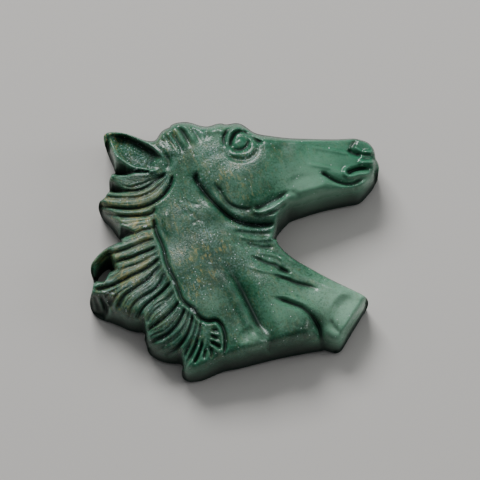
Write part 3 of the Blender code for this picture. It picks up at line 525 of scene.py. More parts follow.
class Relief:
    """Height of the carving over a fine grid of plan points, in millimetres."""

    def __init__(self, outline, hole, cell):
        self.loops = (outline, hole)
        self.cell = cell
        self.low = outline.min(axis=0) - 2 * cell
        count = np.ceil((outline.max(axis=0) + 2 * cell - self.low) / cell).astype(int)
        self.x, self.y = np.meshgrid(self.low[0] + cell * np.arange(count[0] + 1),
                                     self.low[1] + cell * np.arange(count[1] + 1))
        self.height = self.broad_forms()
        self.hair_across, self.hair_along = self.x * 0.25, self.y * 0.25
        self.hair = np.zeros(self.x.shape)

    def broad_forms(self):
        """Smooth ground between the forms' points, where the nearest ones count most."""
        total, weight = np.zeros(self.x.shape), np.zeros(self.x.shape)
        for form_x, form_y, height in FORMS:
            pull = ((self.x - form_x) ** 2 + (self.y - form_y) ** 2 + FORM_SOFTNESS ** 2) ** -2
            total += pull * height
            weight += pull
        return blur(total / weight, FORM_BLUR)

    def window(self, path, reach):
        """Part of the grid around a path."""
        low = np.maximum((path.min(axis=0) - reach - self.low) // self.cell, 0).astype(int)
        high = ((path.max(axis=0) + reach - self.low) // self.cell).astype(int) + 2
        return np.s_[low[1]:high[1], low[0]:high[0]]

    def stroke(self, points, width, depth, start, end):
        """Cuts a groove, or raises a ridge where the depth is below zero. It narrows as it fades out."""
        path = spline(points)
        part = self.window(path, width)
        away, along, *_ = nearest(self.x[part], self.y[part], path)
        fade = fade_ends(along, start, end)
        t = np.clip(away / (width * (0.4 + 0.6 * fade)), 0, 1)
        profile = (1 - t) ** 1.7 * (1 + 0.7 * t) if depth > 0 else (1 - t * t) ** 2
        self.height[part] -= depth * fade * profile

    def ledge(self, points, drop, reach, soften, start, end):
        """Lowers the ground on the right of the path, most at the path itself."""
        path = spline(points)
        part = self.window(path, reach)
        away, along, _, _, side = nearest(self.x[part], self.y[part], path)
        fade = fade_ends(along, start, end)
        low_side = smooth_step(0.5 - side * away / (2 * soften))
        self.height[part] -= drop * fade * low_side * (1 - np.clip(away / reach, 0, 1)) ** 2

    def spot(self, centre, radii, angle):
        """1 at the middle of an ellipse, 0 from its edge outwards."""
        turn = math.radians(angle)
        dx, dy = self.x - centre[0], self.y - centre[1]
        along = (dx * math.cos(turn) + dy * math.sin(turn)) / radii[0]
        across = (dy * math.cos(turn) - dx * math.sin(turn)) / radii[1]
        return np.clip(1 - along ** 2 - across ** 2, 0, 1)

    def flat(self, centre, radii, angle, strength):
        """Turns the ground of an ellipse towards a tilted plane, most in its middle."""
        mask = strength * smooth_step(1.3 * self.spot(centre, radii, angle))
        level = self.at(self.height, np.array([centre]))[0]
        plane = level + FLAT_TILT[0] * (self.x - centre[0]) + FLAT_TILT[1] * (self.y - centre[1])
        self.height += mask * (plane - self.height)

    def between(self, left, right):
        """Window of the strip between two guides, its mask, and the share of the way across and along it."""
        left, right = spline(left), spline(right)
        loop = np.vstack([left, right[::-1]])
        part = self.window(loop, 0)
        x, y = self.x[part], self.y[part]
        to_left, along, *_ = nearest(x, y, left)
        to_right, along_right, *_ = nearest(x, y, right)
        across = to_left / np.maximum(to_left + to_right, 1e-6)
        return part, inside(x, y, loop), across, (along + along_right) / 2

    def lock(self, left, right, crown, lines, line_depth, phase):
        """Rounds a lock of hair over its width and cuts fine lines along it."""
        part, mask, across, along = self.between(left, right)
        fade = smooth_step(along / 0.12) * smooth_step((1 - along) / 0.06 + 0.35)
        body = crown * (np.sqrt(np.clip(4 * across * (1 - across), 0, 1)) - 0.6)
        cut = np.zeros(across.shape)
        for finer, share in ((1.0, 1.0), (1.9, 0.5)):
            wander = 0.3 * np.sin(4.3 * along + phase * finer) + 0.12 * np.sin(13 * along + 2.3 * phase)
            wave = 0.5 + 0.5 * np.cos(2 * math.pi * ((lines + 0.5) * finer * across + wander))
            uneven = 0.65 + 0.35 * np.sin(7 * along * finer + 3 * phase)
            cut += line_depth * share * uneven * wave ** 2.5
        self.height[part] += np.where(mask, fade * (body - cut), 0)
        self.hair_across[part] = np.where(mask, 3 * (phase + across), self.hair_across[part])
        self.hair_along[part] = np.where(mask, along, self.hair_along[part])
        self.hair[part] = np.where(mask, 1.0, self.hair[part])

    def ear_hollow(self):
        """Deepest under the upper rim, rising to the lower rim."""
        part, mask, across, along = self.between(EAR_UPPER, EAR_LOWER)
        depth = EAR_DEPTH * (1 - across) ** 0.9 * smooth_step(across / 0.1)
        depth *= smooth_step(along / 0.25) * smooth_step((1 - along) / 0.2)
        self.height[part] -= np.where(mask, depth, 0)

    def crevice(self, points):
        """Sinks a hairline down to its floor, so that the ground above it becomes a wall."""
        path = spline([point[:2] for point in points])
        part = self.window(path, CREVICE_WIDTH * 2)
        away, along, *_ = nearest(self.x[part], self.y[part], path)
        floor = np.interp(along, np.linspace(0, 1, len(points)), [point[2] for point in points])
        sunk = np.minimum(self.height[part], floor)
        self.height[part] = np.where(away < CREVICE_WIDTH, sunk, self.height[part])

    def slope(self, points, rise, reach, start, end):
        """Tilts the ground on the right of the path away from it, like a cut facet."""
        path = spline(points)
        part = self.window(path, reach)
        away, along, _, _, side = nearest(self.x[part], self.y[part], path)
        fade = fade_ends(along, start, end)
        self.height[part] -= np.where(side < 0, rise * fade * np.minimum(away, reach), 0)

    def waviness(self, amount):
        """Hand-polished unevenness of the faces."""
        draw = np.random.default_rng(SEED)
        for wavelength in WAVE_LENGTHS:
            for _ in range(WAVES_OF_EACH):
                angle, phase = draw.uniform(0, 2 * math.pi, 2)
                way = (self.x * math.cos(angle) + self.y * math.sin(angle)) * 2 * math.pi / wavelength
                self.height += amount * wavelength / WAVE_LENGTHS[0] * np.sin(way + phase)

    def wall_height(self, rise):
        """Highest that the side walls let the surface be."""
        drop = np.full(self.x.shape, np.inf)
        for loop, steepness in zip(self.loops, SIDE_STEEPNESS):
            for (ax, ay), (bx, by) in zip(loop, np.roll(loop, -1, axis=0)):
                faces_front = bx < ax and abs(by - ay) <= STEEPEST_FRONT * (ax - bx)
                if not faces_front:
                    continue
                over_x = np.clip(self.x, bx, ax)
                up = self.y - (ay + (over_x - ax) * (by - ay) / (bx - ax))
                reach = np.maximum(up, 0) + steepness * np.abs(self.x - over_x)
                drop = np.where(up >= -OUTSIDE_REACH * self.cell, np.minimum(drop, reach), drop)
        return FOOT + rise * drop

    def edge_height(self, start, rise):
        """Highest that the rounded edge lets the surface be. It leaves the outline upright."""
        distance = np.minimum.reduce([nearest(self.x, self.y, ring(loop))[0] for loop in self.loops])
        return start + rise * np.sqrt(distance)

    def no_undercut(self):
        """Keeps every rise towards +Y no steeper than an upright wall."""
        step = STEEPEST_WALL * self.cell
        for row in range(1, len(self.height)):
            self.height[row] = np.minimum(self.height[row], self.height[row - 1] + step)

    def at(self, field, points):
        """Field at any plan points, between the grid's own."""
        place = (points - self.low) / self.cell
        column = np.clip(place[:, 0], 0, field.shape[1] - 1.001)
        row = np.clip(place[:, 1], 0, field.shape[0] - 1.001)
        i, j = column.astype(int), row.astype(int)
        u, v = column - i, row - j
        return ((1 - u) * (1 - v) * field[j, i] + u * (1 - v) * field[j, i + 1]
                + (1 - u) * v * field[j + 1, i] + u * v * field[j + 1, i + 1])


def carve(settings):
    """The whole relief, from the broad forms to the finest lines."""
    outline = spline(EAR_BACK + FORELOCK_EDGE + NOSE_EDGE + JAW_EDGE + CHEST_EDGE + NECK_EDGE + MANE_EDGE,
                     closed=True, steps=3)
    relief = Relief(outline, spline(CORD_HOLE, closed=True, steps=3), settings.cell / MM)
    relief.waviness(settings.waviness / MM)
    for centre, radii, angle, height in MOUNDS:
        relief.height += height * relief.spot(centre, radii, angle) ** MOUND_FALLOFF
    for ledge in LEDGES:
        relief.ledge(*ledge)
    for slope in SLOPES:
        relief.slope(*slope)
    for flat in FLATS:
        relief.flat(*flat)
    relief.ear_hollow()
    for guides, locks in ((MANE_GUIDES, MANE_LOCKS), (SIDE_GUIDES, SIDE_LOCKS)):
        for first, second, crown, lines, depth in locks:
            relief.lock(guides[first], guides[second], crown, lines, depth, 1.7 * first)
        for index, guide in enumerate(guides[1:]):
            depth = GAP_DEPTH * (1 + GAP_UNEVENNESS * math.sin(2.4 * index))
            relief.stroke(guide, GAP_WIDTH, depth, 0.1, 0.0)
    relief.stroke(MANE_LINE, *MANE_LINE_CUT)
    relief.stroke([(x + MANE_LIP[0], y + MANE_LIP[1]) for x, y in MANE_LINE[:MANE_LIP_POINTS]], *MANE_LIP_CUT)
    for strokes in (EYE_STROKES, MUZZLE_STROKES, CHEEK_STROKES, NECK_STROKES, FORELOCK_STROKES, EAR_STROKES,
                    MANE_STROKES, FAN_SLOTS):
        for stroke in strokes:
            relief.stroke(*stroke)
    iris = [(IRIS_CENTRE[0] + IRIS_RADIUS * math.cos(turn), IRIS_CENTRE[1] + IRIS_RADIUS * math.sin(turn))
            for turn in np.linspace(0, 2 * math.pi, IRIS_POINTS)]
    relief.stroke(iris, *IRIS_CUT)
    relief.height = blur(relief.height, DETAIL_BLUR)
    walls = blur(relief.wall_height(settings.wall_rise), WALL_BLUR)
    relief.height = soft_min(relief.height, walls, settings.edge_rounding / MM)
    relief.height = soft_min(relief.height, relief.edge_height(EDGE_START, EDGE_RISE), EDGE_BLEND)
    for points in CREVICES:
        relief.crevice(points)
    relief.no_undercut()
    relief.height = np.maximum(blur(relief.height, LAST_BLUR), FOOT)
    return relief


def trimmed_plan(relief):
    """Flat grid of the plan, trimmed to the outline and the hole, with its rim pulled onto them."""
    rows, columns = relief.x.shape
    span = np.array([columns - 1, rows - 1]) * relief.cell
    middle = relief.low + span / 2
    plan = bmesh.new()
    bmesh.ops.create_grid(plan, x_segments=columns - 1, y_segments=rows - 1, size=1,
                          matrix=Matrix.Translation((*middle, 0)) @ Matrix.Diagonal((*(span / 2), 1, 1)))
    centres = np.array([face.calc_center_median() for face in plan.faces])
    outline, hole = relief.loops
    kept = inside(centres[:, 0], centres[:, 1], outline) & ~inside(centres[:, 0], centres[:, 1], hole)
    bmesh.ops.delete(plan, geom=[face for face, keep in zip(plan.faces, kept) if not keep], context='FACES')
    pinched = True
    while pinched:
        corners = [v for v in plan.verts if sum(edge.is_boundary for edge in v.link_edges) > 2]
        pinched = sorted({face for v in corners for face in v.link_faces}, key=lambda face: face.index)
        bmesh.ops.delete(plan, geom=pinched, context='FACES')
    rim = [v for v in plan.verts if v.is_boundary]
    where = np.array([v.co for v in rim])
    closest = [nearest(where[:, 0], where[:, 1], ring(loop)) for loop in relief.loops]
    for index, vert in enumerate(rim):
        distance, _, x, y, _ = min(tuple(part[index] for part in near) for near in closest)
        if distance < RIM_REACH * relief.cell:
            vert.co.x, vert.co.y = x, y
    on_rim = set(rim)
    next_to_rim = {edge.other_vert(v) for v in rim for edge in v.link_edges} - on_rim
    for _ in range(RIM_SMOOTHINGS):
        bmesh.ops.smooth_vert(plan, verts=sorted(next_to_rim, key=lambda v: v.index), factor=0.5,
                              use_axis_x=True, use_axis_y=True)
    return plan


def outward(rim_edges):
    """Direction away from the solid, in the plane, at each rim corner."""
    away = {}
    for edge in rim_edges:
        a, b = edge.verts
        along = b.co - a.co
        normal = Vector((along.y, -along.x, 0))
        if normal.dot(edge.link_faces[0].calc_center_median() - a.co) > 0:
            normal.negate()
        for vert in (a, b):
            away[vert] = away.get(vert, Vector((0, 0, 0))) + normal
    return {vert: way.normalized() for vert, way in away.items()}


def stay_inside(verts, outline):
    """Draws an upright wall in where it would stick out past the outline of the slanted plan."""
    where = np.array([v.co for v in verts])
    x, y = where[:, 0], where[:, 1] - LEAN * (PLAN_LEVEL - where[:, 2])
    _, _, near_x, near_y, _ = nearest(x, y, ring(outline))
    for vert, held, edge_x, edge_y, plan_y in zip(verts, inside(x, y, outline), near_x, near_y, y):
        if not held:
            vert.co.x = edge_x
            vert.co.y += edge_y - plan_y


def close_back(solid, outline, rows, chamfer):
    """Upright sides from the rim down, a small chamfer, and the flat back."""
    side = solid.verts.layers.float["side"]
    rim = [edge for edge in solid.edges if edge.is_boundary]
    away = outward(rim)
    tops = {v: v.co.z for v in away}
    source = {v: v for v in away}
    for row in range(1, rows + 1):
        made = bmesh.ops.extrude_edge_only(solid, edges=rim)['geom']
        rim = [item for item in made if isinstance(item, bmesh.types.BMEdge) and item.is_boundary]
        below = {}
        for item in made:
            if isinstance(item, bmesh.types.BMVert):
                above = [edge.other_vert(item) for edge in item.link_edges if edge.other_vert(item) in source]
                below[item] = source[above[0]]
        last = row == rows
        for vert, top in below.items():
            vert.co.z = 0.0 if last else chamfer + (tops[top] - chamfer) * (1 - row / (rows - 1))
            # painted shade: the sides darken towards the bottom
            vert[side] = max(vert[side], 1.0 - 0.5 * vert.co.z / tops[top])
        for _ in range(WALL_SMOOTHINGS):
            bmesh.ops.smooth_vert(solid, verts=list(below), factor=0.4, use_axis_x=True, use_axis_y=True)
        stay_inside(list(below), outline)
        if last:
            for vert, top in below.items():
                vert.co -= away[top] * chamfer
            for _ in range(FOOT_SMOOTHINGS):
                bmesh.ops.smooth_vert(solid, verts=list(below), factor=0.5, use_axis_x=True, use_axis_y=True)
        source = below
    bmesh.ops.triangle_fill(solid, edges=rim, use_beauty=True)


def patches(relief, places):
    """How much of a tint each point has, from overlapping soft patches."""
    without = np.ones(relief.x.shape)
    for x, y, radius, strength in places:
        without *= 1 - strength * np.exp(-((relief.x - x) ** 2 + (relief.y - y) ** 2) / radius ** 2)
    return 1 - without


def shade_fields(relief):
    """What the colour follows: hollows and sides (painted shade), crests (painted highlight), tint patches and
    the hair's run.
    """
    height = relief.height
    near, far = blur(height, NEAR_BLUR), blur(height, FAR_BLUR)
    rise = np.gradient(blur(height, SLOPE_BLUR), relief.cell, axis=0)
    vivid, pale = patches(relief, VIVID_PLACES), patches(relief, PALE_AND_HIGHLIGHT_PLACES)
    return {
        # painted shade: darkens where the surface lies below its surroundings
        "hollow": np.clip((near - height) * HOLLOW_GAIN[0] + (far - height) * HOLLOW_GAIN[1], 0, 1),
        # painted shade on low ground and on slopes facing -Y, away from the key light
        "side": np.maximum(smooth_step((SIDE_TOP - height) / SIDE_DEPTH),
                           smooth_step((rise - SIDE_RISE) / SIDE_RISE)),
        # painted highlight: lightens where the surface stands above its surroundings
        "crest": np.clip((height - near) * CREST_GAIN[0] + (height - far) * CREST_GAIN[1], 0, 1),
        "ochre": patches(relief, OCHRE_PLACES),
        "pale": pale,
        "vivid": vivid,
        # dark patches: painted shade, partly darker stone
        "deep": patches(relief, DARK_AND_SHADE_PLACES),
        "grainy": np.clip(1.05 - 0.8 * vivid - 0.8 * pale, 0.2, 1),
        "specks": patches(relief, SPECK_PLACES),
        # chips and painted glints
        "chip": np.max([smooth_step(3 * relief.spot(*chip)) for chip in CHIPS_AND_GLINTS], axis=0),
        "grey": patches(relief, GREY_SHEEN_PLACES),
        "hair": blur(relief.hair, 2),
        "hair_across": relief.hair_across,
        "hair_along": relief.hair_along,
    }


def build_mesh(settings):
    relief = carve(settings)
    solid = trimmed_plan(relief)
    fields = shade_fields(relief)
    plan = np.array([v.co for v in solid.verts])[:, :2]
    heights = relief.at(relief.height, plan)
    on_rim = np.array([v.is_boundary for v in solid.verts])
    heights = np.where(on_rim, np.minimum(heights, EDGE_START), heights)
    layers = {name: solid.verts.layers.float.new(name) for name in fields}
    for name, field in fields.items():
        values = relief.at(field, plan)
        for vert, value in zip(solid.verts, values):
            vert[layers[name]] = value
    for vert, height in zip(solid.verts, heights):
        vert.co.y += LEAN * (PLAN_LEVEL - height)
        vert.co.z = height
    close_back(solid, relief.loops[0], settings.side_rows, settings.back_chamfer / MM)
    bmesh.ops.recalc_face_normals(solid, faces=solid.faces)
    low = [min(v.co[axis] for v in solid.verts) for axis in (0, 1)]
    high = [max(v.co[axis] for v in solid.verts) for axis in (0, 1)]
    shift = Vector((-(low[0] + high[0]) / 2, -(low[1] + high[1]) / 2, 0))
    bmesh.ops.translate(solid, verts=solid.verts, vec=shift)
    bmesh.ops.scale(solid, verts=solid.verts, vec=(MM, MM, MM))
    mesh = bpy.data.meshes.new(PIECE)
    solid.to_mesh(mesh)
    solid.free()
    mesh.shade_smooth()
    return mesh, shift * MM


class NodeTree:
    """Adds a material's nodes, one call for each."""

    def __init__(self, material):
        material.use_nodes = True
        self.tree = material.node_tree
        self.shader = self.tree.nodes["Principled BSDF"]

    def plug(self, node, inputs):
        """Sets each input to a value, or joins it to another node's output."""
        for name, value in inputs.items():
            if isinstance(value, bpy.types.NodeSocket):
                self.tree.links.new(value, node.inputs[name])
            else:
                node.inputs[name].default_value = value

    def add(self, kind, inputs, output=0, **choices):
        node = self.tree.nodes.new("ShaderNode" + kind)
        for name, value in choices.items():
            setattr(node, name, value)
        self.plug(node, inputs)
        return node.outputs[output]

    def noise(self, vector, scale, detail=4.0, roughness=0.55, distortion=0.0):
        return self.add("TexNoise", {"Vector": vector, "Scale": scale, "Detail": detail,
                                     "Roughness": roughness, "Distortion": distortion})

    def stretched(self, vector, angle, length):
        """Vector for a pattern that is drawn out along a line, turned by an angle in degrees."""
        return self.add("Mapping", {"Vector": vector, "Rotation": (0, 0, math.radians(angle)),
                                    "Scale": (1, length, 1)}, vector_type='TEXTURE')

    def math(self, operation, first, second=0.0, clamp=False):
        return self.add("Math", {0: first, 1: second}, operation=operation, use_clamp=clamp)

    def between(self, value, low, high):
        """0 below low, 1 above high, smooth in between."""
        return self.add("MapRange", {"Value": value, "From Min": low, "From Max": high},
                        interpolation_type='SMOOTHSTEP')

    def blend(self, share, first, second):
        return self.add("Mix", {0: share, 6: first, 7: second}, output=2, data_type='RGBA')

    def attribute(self, name):
        return self.add("Attribute", {}, output=2, attribute_name=name)

    def bumpy(self, height, strength, distance, **under):
        return self.add("Bump", {"Height": height, **under, "Strength": strength, "Distance": distance})

    def product(self, first, *others):
        for other in others:
            first = self.math('MULTIPLY', first, other)
        return first


def jade_material(settings):
    material = bpy.data.materials.new("polished_jade")
    stone = NodeTree(material)
    place = stone.add("TexCoord", {}, output=3)
    clouds = stone.noise(place, 105.0, 5.0, 0.6, 0.8)
    mottle = stone.noise(place, 520.0, 6.0, 0.65, 0.5)
    grain = stone.noise(place, 2600.0, 3.0, 0.6)
    veins = stone.noise(place, 330.0, 7.0, 0.75, 2.6)
    tints = ("vivid", "grey", "pale", "grainy", "hair", "ochre", "side", "hollow", "specks")
    vivid, grey, pale, grainy, hair, ochre, side, hollow, specks = map(stone.attribute, tints)

    colour = stone.blend(stone.between(clouds, 0.3, 0.62), settings.deep_green, settings.body_green)
    colour = stone.blend(stone.product(stone.between(mottle, 0.46, 0.68), 0.5), colour, settings.milky_green)
    colour = stone.blend(stone.product(vivid, 0.75), colour, settings.vivid_green)
    # blue-grey stone, and painted sheen
    grey_sheen = stone.product(grey, stone.between(mottle, 0.3, 0.75), 0.6)
    colour = stone.blend(grey_sheen, colour, settings.grey_sheen_green)
    # milky stone, and painted highlights where the polish would catch the light
    milky_and_highlight = stone.math('MULTIPLY', pale, stone.math('ADD', 0.55, clouds), clamp=True)
    colour = stone.blend(milky_and_highlight, colour, settings.pale_and_highlight_green)
    shadows, dark_grain = stone.between(mottle, 0.48, 0.34), stone.between(grain, 0.5, 0.36)
    colour = stone.blend(stone.product(grainy, shadows, 0.55), colour, settings.deep_green)
    colour = stone.blend(stone.product(grainy, dark_grain, 0.6), colour, settings.deep_green)
    light_grain = stone.between(grain, 0.54, 0.68)
    colour = stone.blend(stone.product(grainy, light_grain, 0.55), colour, settings.thread_green)

    run = stone.add("CombineXYZ", {"X": stone.attribute("hair_across"), "Y": stone.attribute("hair_along")})
    streaks = stone.noise(run, 2.6, 5.0, 0.7, 0.6)
    threads = stone.noise(run, 2.5, 4.0, 0.7, 0.2)
    # painted shade: dark lines along the hair stand in for the shade between its strands
    dark_threads = stone.product(hair, stone.between(threads, 0.5, 0.4), 0.85)
    colour = stone.blend(dark_threads, colour, settings.groove_shade_green)
    light_threads = stone.product(hair, stone.between(threads, 0.52, 0.62), 0.7)
    colour = stone.blend(light_threads, colour, settings.thread_green)

    leaning_right = stone.stretched(place, -22, 2.6)
    crossing = stone.noise(leaning_right, 620.0, 4.0, 0.7, 0.6)
    flecks = stone.noise(stone.stretched(place, 20, 3.2), 1500.0, 4.0, 0.7, 0.4)
    along_hair = stone.product(ochre, stone.between(streaks, 0.49, 0.545), hair, 0.55)
    across_hair = stone.product(ochre, stone.between(crossing, 0.53, 0.6), hair)
    fleck_share = stone.math('ADD', stone.product(ochre, 0.9), stone.product(grainy, 0.12))
    fleck = stone.product(fleck_share, stone.between(flecks, 0.53, 0.64))
    olive_share = stone.math('ADD', stone.product(ochre, 0.7), stone.product(grainy, 0.25))
    colour = stone.blend(stone.product(olive_share, stone.between(veins, 0.5, 0.62)), colour, settings.olive)
    rusty = stone.math('MAXIMUM', stone.math('MAXIMUM', along_hair, across_hair), fleck)
    colour = stone.blend(rusty, colour, settings.ochre)

    # painted shade on the sides and front-facing slopes, left off the milky stone
    side_shade = stone.math('MULTIPLY', side, stone.math('SUBTRACT', 0.95, pale), clamp=True)
    colour = stone.blend(side_shade, colour, settings.dark_stone_and_shade_green)
    # dark patches: painted shade in valleys and grooves, partly darker stone
    deep = stone.product(stone.attribute("deep"), stone.between(mottle, 0.8, 0.4), 0.9)
    colour = stone.blend(deep, colour, settings.dark_stone_and_shade_green)
    # painted shade in the grooves and recesses
    colour = stone.blend(stone.product(hollow, 0.93), colour, settings.groove_shade_green)
    # painted highlight along the crests
    colour = stone.blend(stone.product(stone.attribute("crest"), 0.45), colour, settings.crest_highlight_green)

    top = stone.math('SUBTRACT', 1.0, side)
    dust = stone.product(specks, stone.between(grain, 0.47, 0.62), top, 0.5)
    colour = stone.blend(dust, colour, settings.dust)
    crystals, cell_colour = (stone.add("TexVoronoi", {"Vector": place, "Scale": 3000.0}, output=output)
                             for output in (0, 1))
    chosen = stone.add("SeparateColor", {"Color": cell_colour}, output=0)
    rarity = stone.math('SUBTRACT', 0.98, stone.product(specks, 0.22))
    speck = stone.product(stone.math('LESS_THAN', crystals, 0.33), stone.math('GREATER_THAN', chosen, rarity),
                          stone.between(top, 0.5, 0.9), 0.75)
    # chips and painted glints, in the crystals' colour
    chip = stone.product(stone.attribute("chip"), stone.between(grain, 0.4, 0.52))
    colour = stone.blend(stone.math('MAXIMUM', speck, chip), colour, settings.crystal_and_glint)

    gloss = stone.add("MapRange", {"Value": mottle, "From Min": 0.3, "From Max": 0.75, "To Min": 0.08,
                                   "To Max": 0.18})
    unpolished = stone.product(stone.math('ADD', hollow, side), 0.3)
    gloss = stone.math('ADD', gloss, stone.math('ADD', stone.product(grainy, 0.13), unpolished))
    bump = stone.bumpy(stone.product(grain, grainy), 0.7, 0.0001)
    bump = stone.bumpy(mottle, 0.25, 0.00012, Normal=bump)
    bump = stone.bumpy(stone.product(threads, hair), 0.7, 0.0003, Normal=bump)
    stone.plug(stone.shader, {
        "Base Color": colour, "Roughness": gloss, "Normal": bump, "IOR": 1.5,
        "Specular IOR Level": 0.42,
        "Subsurface Weight": 0.12, "Subsurface Radius": (0.35, 1.0, 0.55), "Subsurface Scale": 0.0012,
        "Coat Weight": 0.16, "Coat Roughness": 0.05, "Coat IOR": 1.45,
    })
    return material


def tint_setting(name, description, colour):
    """Setting that holds a colour."""
    return bpy.props.FloatVectorProperty(name=name, description=description, default=(*colour, 1.0), size=4,
                                         subtype='COLOR')


class CarvingSettings(bpy.types.PropertyGroup):
    cell: bpy.props.FloatProperty(name="Cell", description="Spacing of the carved surface's points",
                                  default=0.153 * MM, unit='LENGTH')
    waviness: bpy.props.FloatProperty(name="Waviness", description="Unevenness left by polishing by hand",
                                      default=0.007 * MM, unit='LENGTH')
    wall_rise: bpy.props.FloatProperty(name="Wall rise", description="Steepness of the side walls",
                                       default=2.55)
    edge_rounding: bpy.props.FloatProperty(name="Edge rounding", description="Depth of the rounded edges",
                                           default=5.0 * MM, unit='LENGTH')
    side_rows: bpy.props.IntProperty(name="Side rows", description="Rows of faces down the sides", default=6)
    back_chamfer: bpy.props.FloatProperty(name="Back chamfer", description="Chamfer around the flat back",
                                          default=0.25 * MM, unit='LENGTH')
    deep_green: tint_setting("Deep green", "Darkest clouds in the stone", (0.009, 0.06, 0.029))
    body_green: tint_setting("Body green", "Main colour of the stone", (0.021, 0.135, 0.066))
    milky_green: tint_setting("Milky green", "Cloudy lighter mottling", (0.065, 0.22, 0.145))
    vivid_green: tint_setting("Vivid green", "Clear saturated patches", (0.045, 0.24, 0.13))
    # colour of the blue-grey stone and of the painted sheen
    grey_sheen_green: tint_setting("Grey green", "Blue-grey parts of the mane", (0.046, 0.096, 0.084))
    thread_green: tint_setting("Thread green", "Fine light lines in the hair", (0.12, 0.24, 0.21))
    # colour of the milky stone, also used for the painted highlights
    pale_and_highlight_green: tint_setting("Pale green", "Milky end of the chest", (0.27, 0.5, 0.35))
    olive: tint_setting("Olive", "Yellowish clouds around the rusty veins", (0.12, 0.17, 0.07))
    ochre: tint_setting("Ochre", "Rusty streaks and veins", (0.38, 0.33, 0.1))
    # colour of the painted shade in the grooves and of the dark lines between the hair's strands
    groove_shade_green: tint_setting("Hollow green", "Colour deep in the grooves", (0.004, 0.02, 0.013))
    # colour of the painted highlight along the raised edges
    crest_highlight_green: tint_setting("Crest highlight green", "Lighter stone along the raised edges", (0.11, 0.3, 0.2))
    # colour of the painted shade on the sides, also used for the dark patches
    dark_stone_and_shade_green: tint_setting("Wall green", "Colour low on the sides", (0.004, 0.02, 0.01))
    dust: tint_setting("Dust", "Bluish bloom where the crystals crowd", (0.2, 0.3, 0.31))
    # colour of the crystals and of the painted glints
    crystal_and_glint: tint_setting("Crystals", "Tiny light crystals in the stone", (0.6, 0.7, 0.68))


class StudioSettings(bpy.types.PropertyGroup):
    floor_colour: tint_setting("Floor", "Colour of the floor", (0.68, 0.66, 0.63))
    key_power: bpy.props.FloatProperty(name="Key light", description="Power of the large soft light",
                                       default=12.5, unit='POWER')
    side_power: bpy.props.FloatProperty(name="Side light", description="Power of the small right-hand light",
                                        default=1.6, unit='POWER')
    overhead_power: bpy.props.FloatProperty(name="Overhead light", description="Power of the broad dim light",
                                            default=3.3, unit='POWER')
    elevation: bpy.props.FloatProperty(name="Elevation", description="Camera's height above the horizon",
                                       default=math.radians(90 - LEAN_ANGLE), subtype='ANGLE')
    distance: bpy.props.FloatProperty(name="Distance", description="Camera's distance from the carving",
                                      default=0.758, unit='LENGTH')
    lens: bpy.props.FloatProperty(name="Lens", description="Focal length of the camera", default=290.0,
                                  unit='CAMERA')


class JADE_OT_carving(bpy.types.Operator):
    """Carve the horse's head from jade"""
    bl_idname = "jade.carving"
    bl_label = "Jade Carving"

    def execute(self, context):
        settings = context.scene.jade_carving
        mesh, shift = build_mesh(settings)
        context.scene["plan_shift"] = list(shift)
        carving = bpy.data.objects.new(PIECE, mesh)
        context.scene.collection.objects.link(carving)
        mesh.materials.append(jade_material(settings))
        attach(carving, "root")
        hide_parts(NODE)
        return {'FINISHED'}


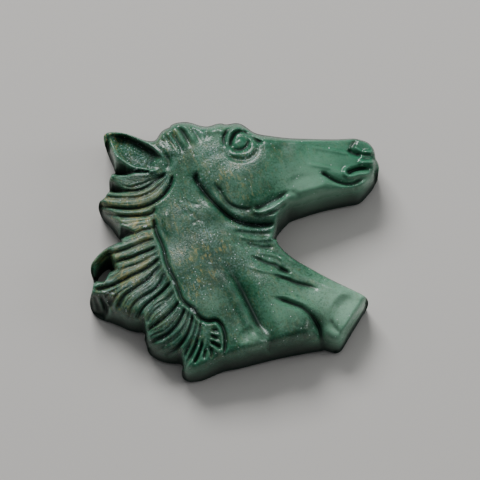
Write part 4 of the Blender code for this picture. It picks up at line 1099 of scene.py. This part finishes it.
class JADE_OT_studio(bpy.types.Operator):
    """Add the pale floor, the soft lights and the camera"""
    bl_idname = "jade.studio"
    bl_label = "Studio"

    def execute(self, context):
        settings = context.scene.jade_studio
        scene = context.scene
        plan = bmesh.new()
        bmesh.ops.create_grid(plan, x_segments=1, y_segments=1, size=FLOOR_HALF_SIZE)
        mesh = bpy.data.meshes.new("floor")
        plan.to_mesh(mesh)
        plan.free()
        floor = bpy.data.objects.new("floor", mesh)
        scene.collection.objects.link(floor)
        material = bpy.data.materials.new("pale_floor")
        material.use_nodes = True
        shader = material.node_tree.nodes["Principled BSDF"]
        shader.inputs["Base Color"].default_value = settings.floor_colour
        shader.inputs["Roughness"].default_value = FLOOR_ROUGHNESS
        mesh.materials.append(material)

        shift = Vector(scene["plan_shift"])
        aim = Vector((AIM[0] * MM, AIM[1] * MM, 0)) + shift
        back = Vector((0, -math.cos(settings.elevation), math.sin(settings.elevation)))
        camera = bpy.data.objects.new("camera", bpy.data.cameras.new("camera"))
        camera.data.lens = settings.lens
        camera.data.sensor_width = 36.0
        camera.data.clip_start, camera.data.clip_end = 0.01, 20.0
        camera.location = aim + back * settings.distance
        camera.rotation_euler = (-back).to_track_quat('-Z', 'Y').to_euler()
        scene.collection.objects.link(camera)
        scene.camera = camera

        for name, place, size, power in SOFTBOXES:
            add_softbox(scene, name, place, size, getattr(settings, power))
        world = bpy.data.worlds.new("studio")
        world.use_nodes = True
        background = world.node_tree.nodes["Background"]
        background.inputs["Color"].default_value = AMBIENT_COLOUR
        background.inputs["Strength"].default_value = AMBIENT_STRENGTH
        scene.world = world
        return {'FINISHED'}


def add_softbox(scene, name, place, size, power):
    """Rectangular soft light that faces the carving."""
    light = bpy.data.lights.new(name, 'AREA')
    light.shape = 'RECTANGLE'
    light.size, light.size_y = size
    light.energy = power
    softbox = bpy.data.objects.new(name, light)
    softbox.location = place
    softbox.rotation_euler = (-Vector(place)).to_track_quat('-Z', 'Y').to_euler()
    scene.collection.objects.link(softbox)


class JADE_PT_panel(bpy.types.Panel):
    """Steps that build the carving and its studio"""
    bl_idname = "JADE_PT_panel"
    bl_label = "Jade Carving"
    bl_space_type = 'VIEW_3D'
    bl_region_type = 'UI'
    bl_category = "Jade Carving"

    def draw(self, context):
        for settings in (context.scene.jade_carving, context.scene.jade_studio):
            box = self.layout.box()
            for name in settings.__annotations__:
                box.prop(settings, name)
        for step in STEPS:
            self.layout.operator(step.bl_idname)


STEPS = (JADE_OT_carving, JADE_OT_studio)
CLASSES = (CarvingSettings, StudioSettings, *STEPS, JADE_PT_panel)


def register():
    for item in CLASSES:
        bpy.utils.register_class(item)
    bpy.types.Scene.jade_carving = bpy.props.PointerProperty(type=CarvingSettings)
    bpy.types.Scene.jade_studio = bpy.props.PointerProperty(type=StudioSettings)


def unregister():
    del bpy.types.Scene.jade_studio
    del bpy.types.Scene.jade_carving
    for item in reversed(CLASSES):
        bpy.utils.unregister_class(item)


def main():
    register()
    bpy.ops.jade.carving()
    bpy.ops.jade.studio()


if __name__ == "__main__":
    main()
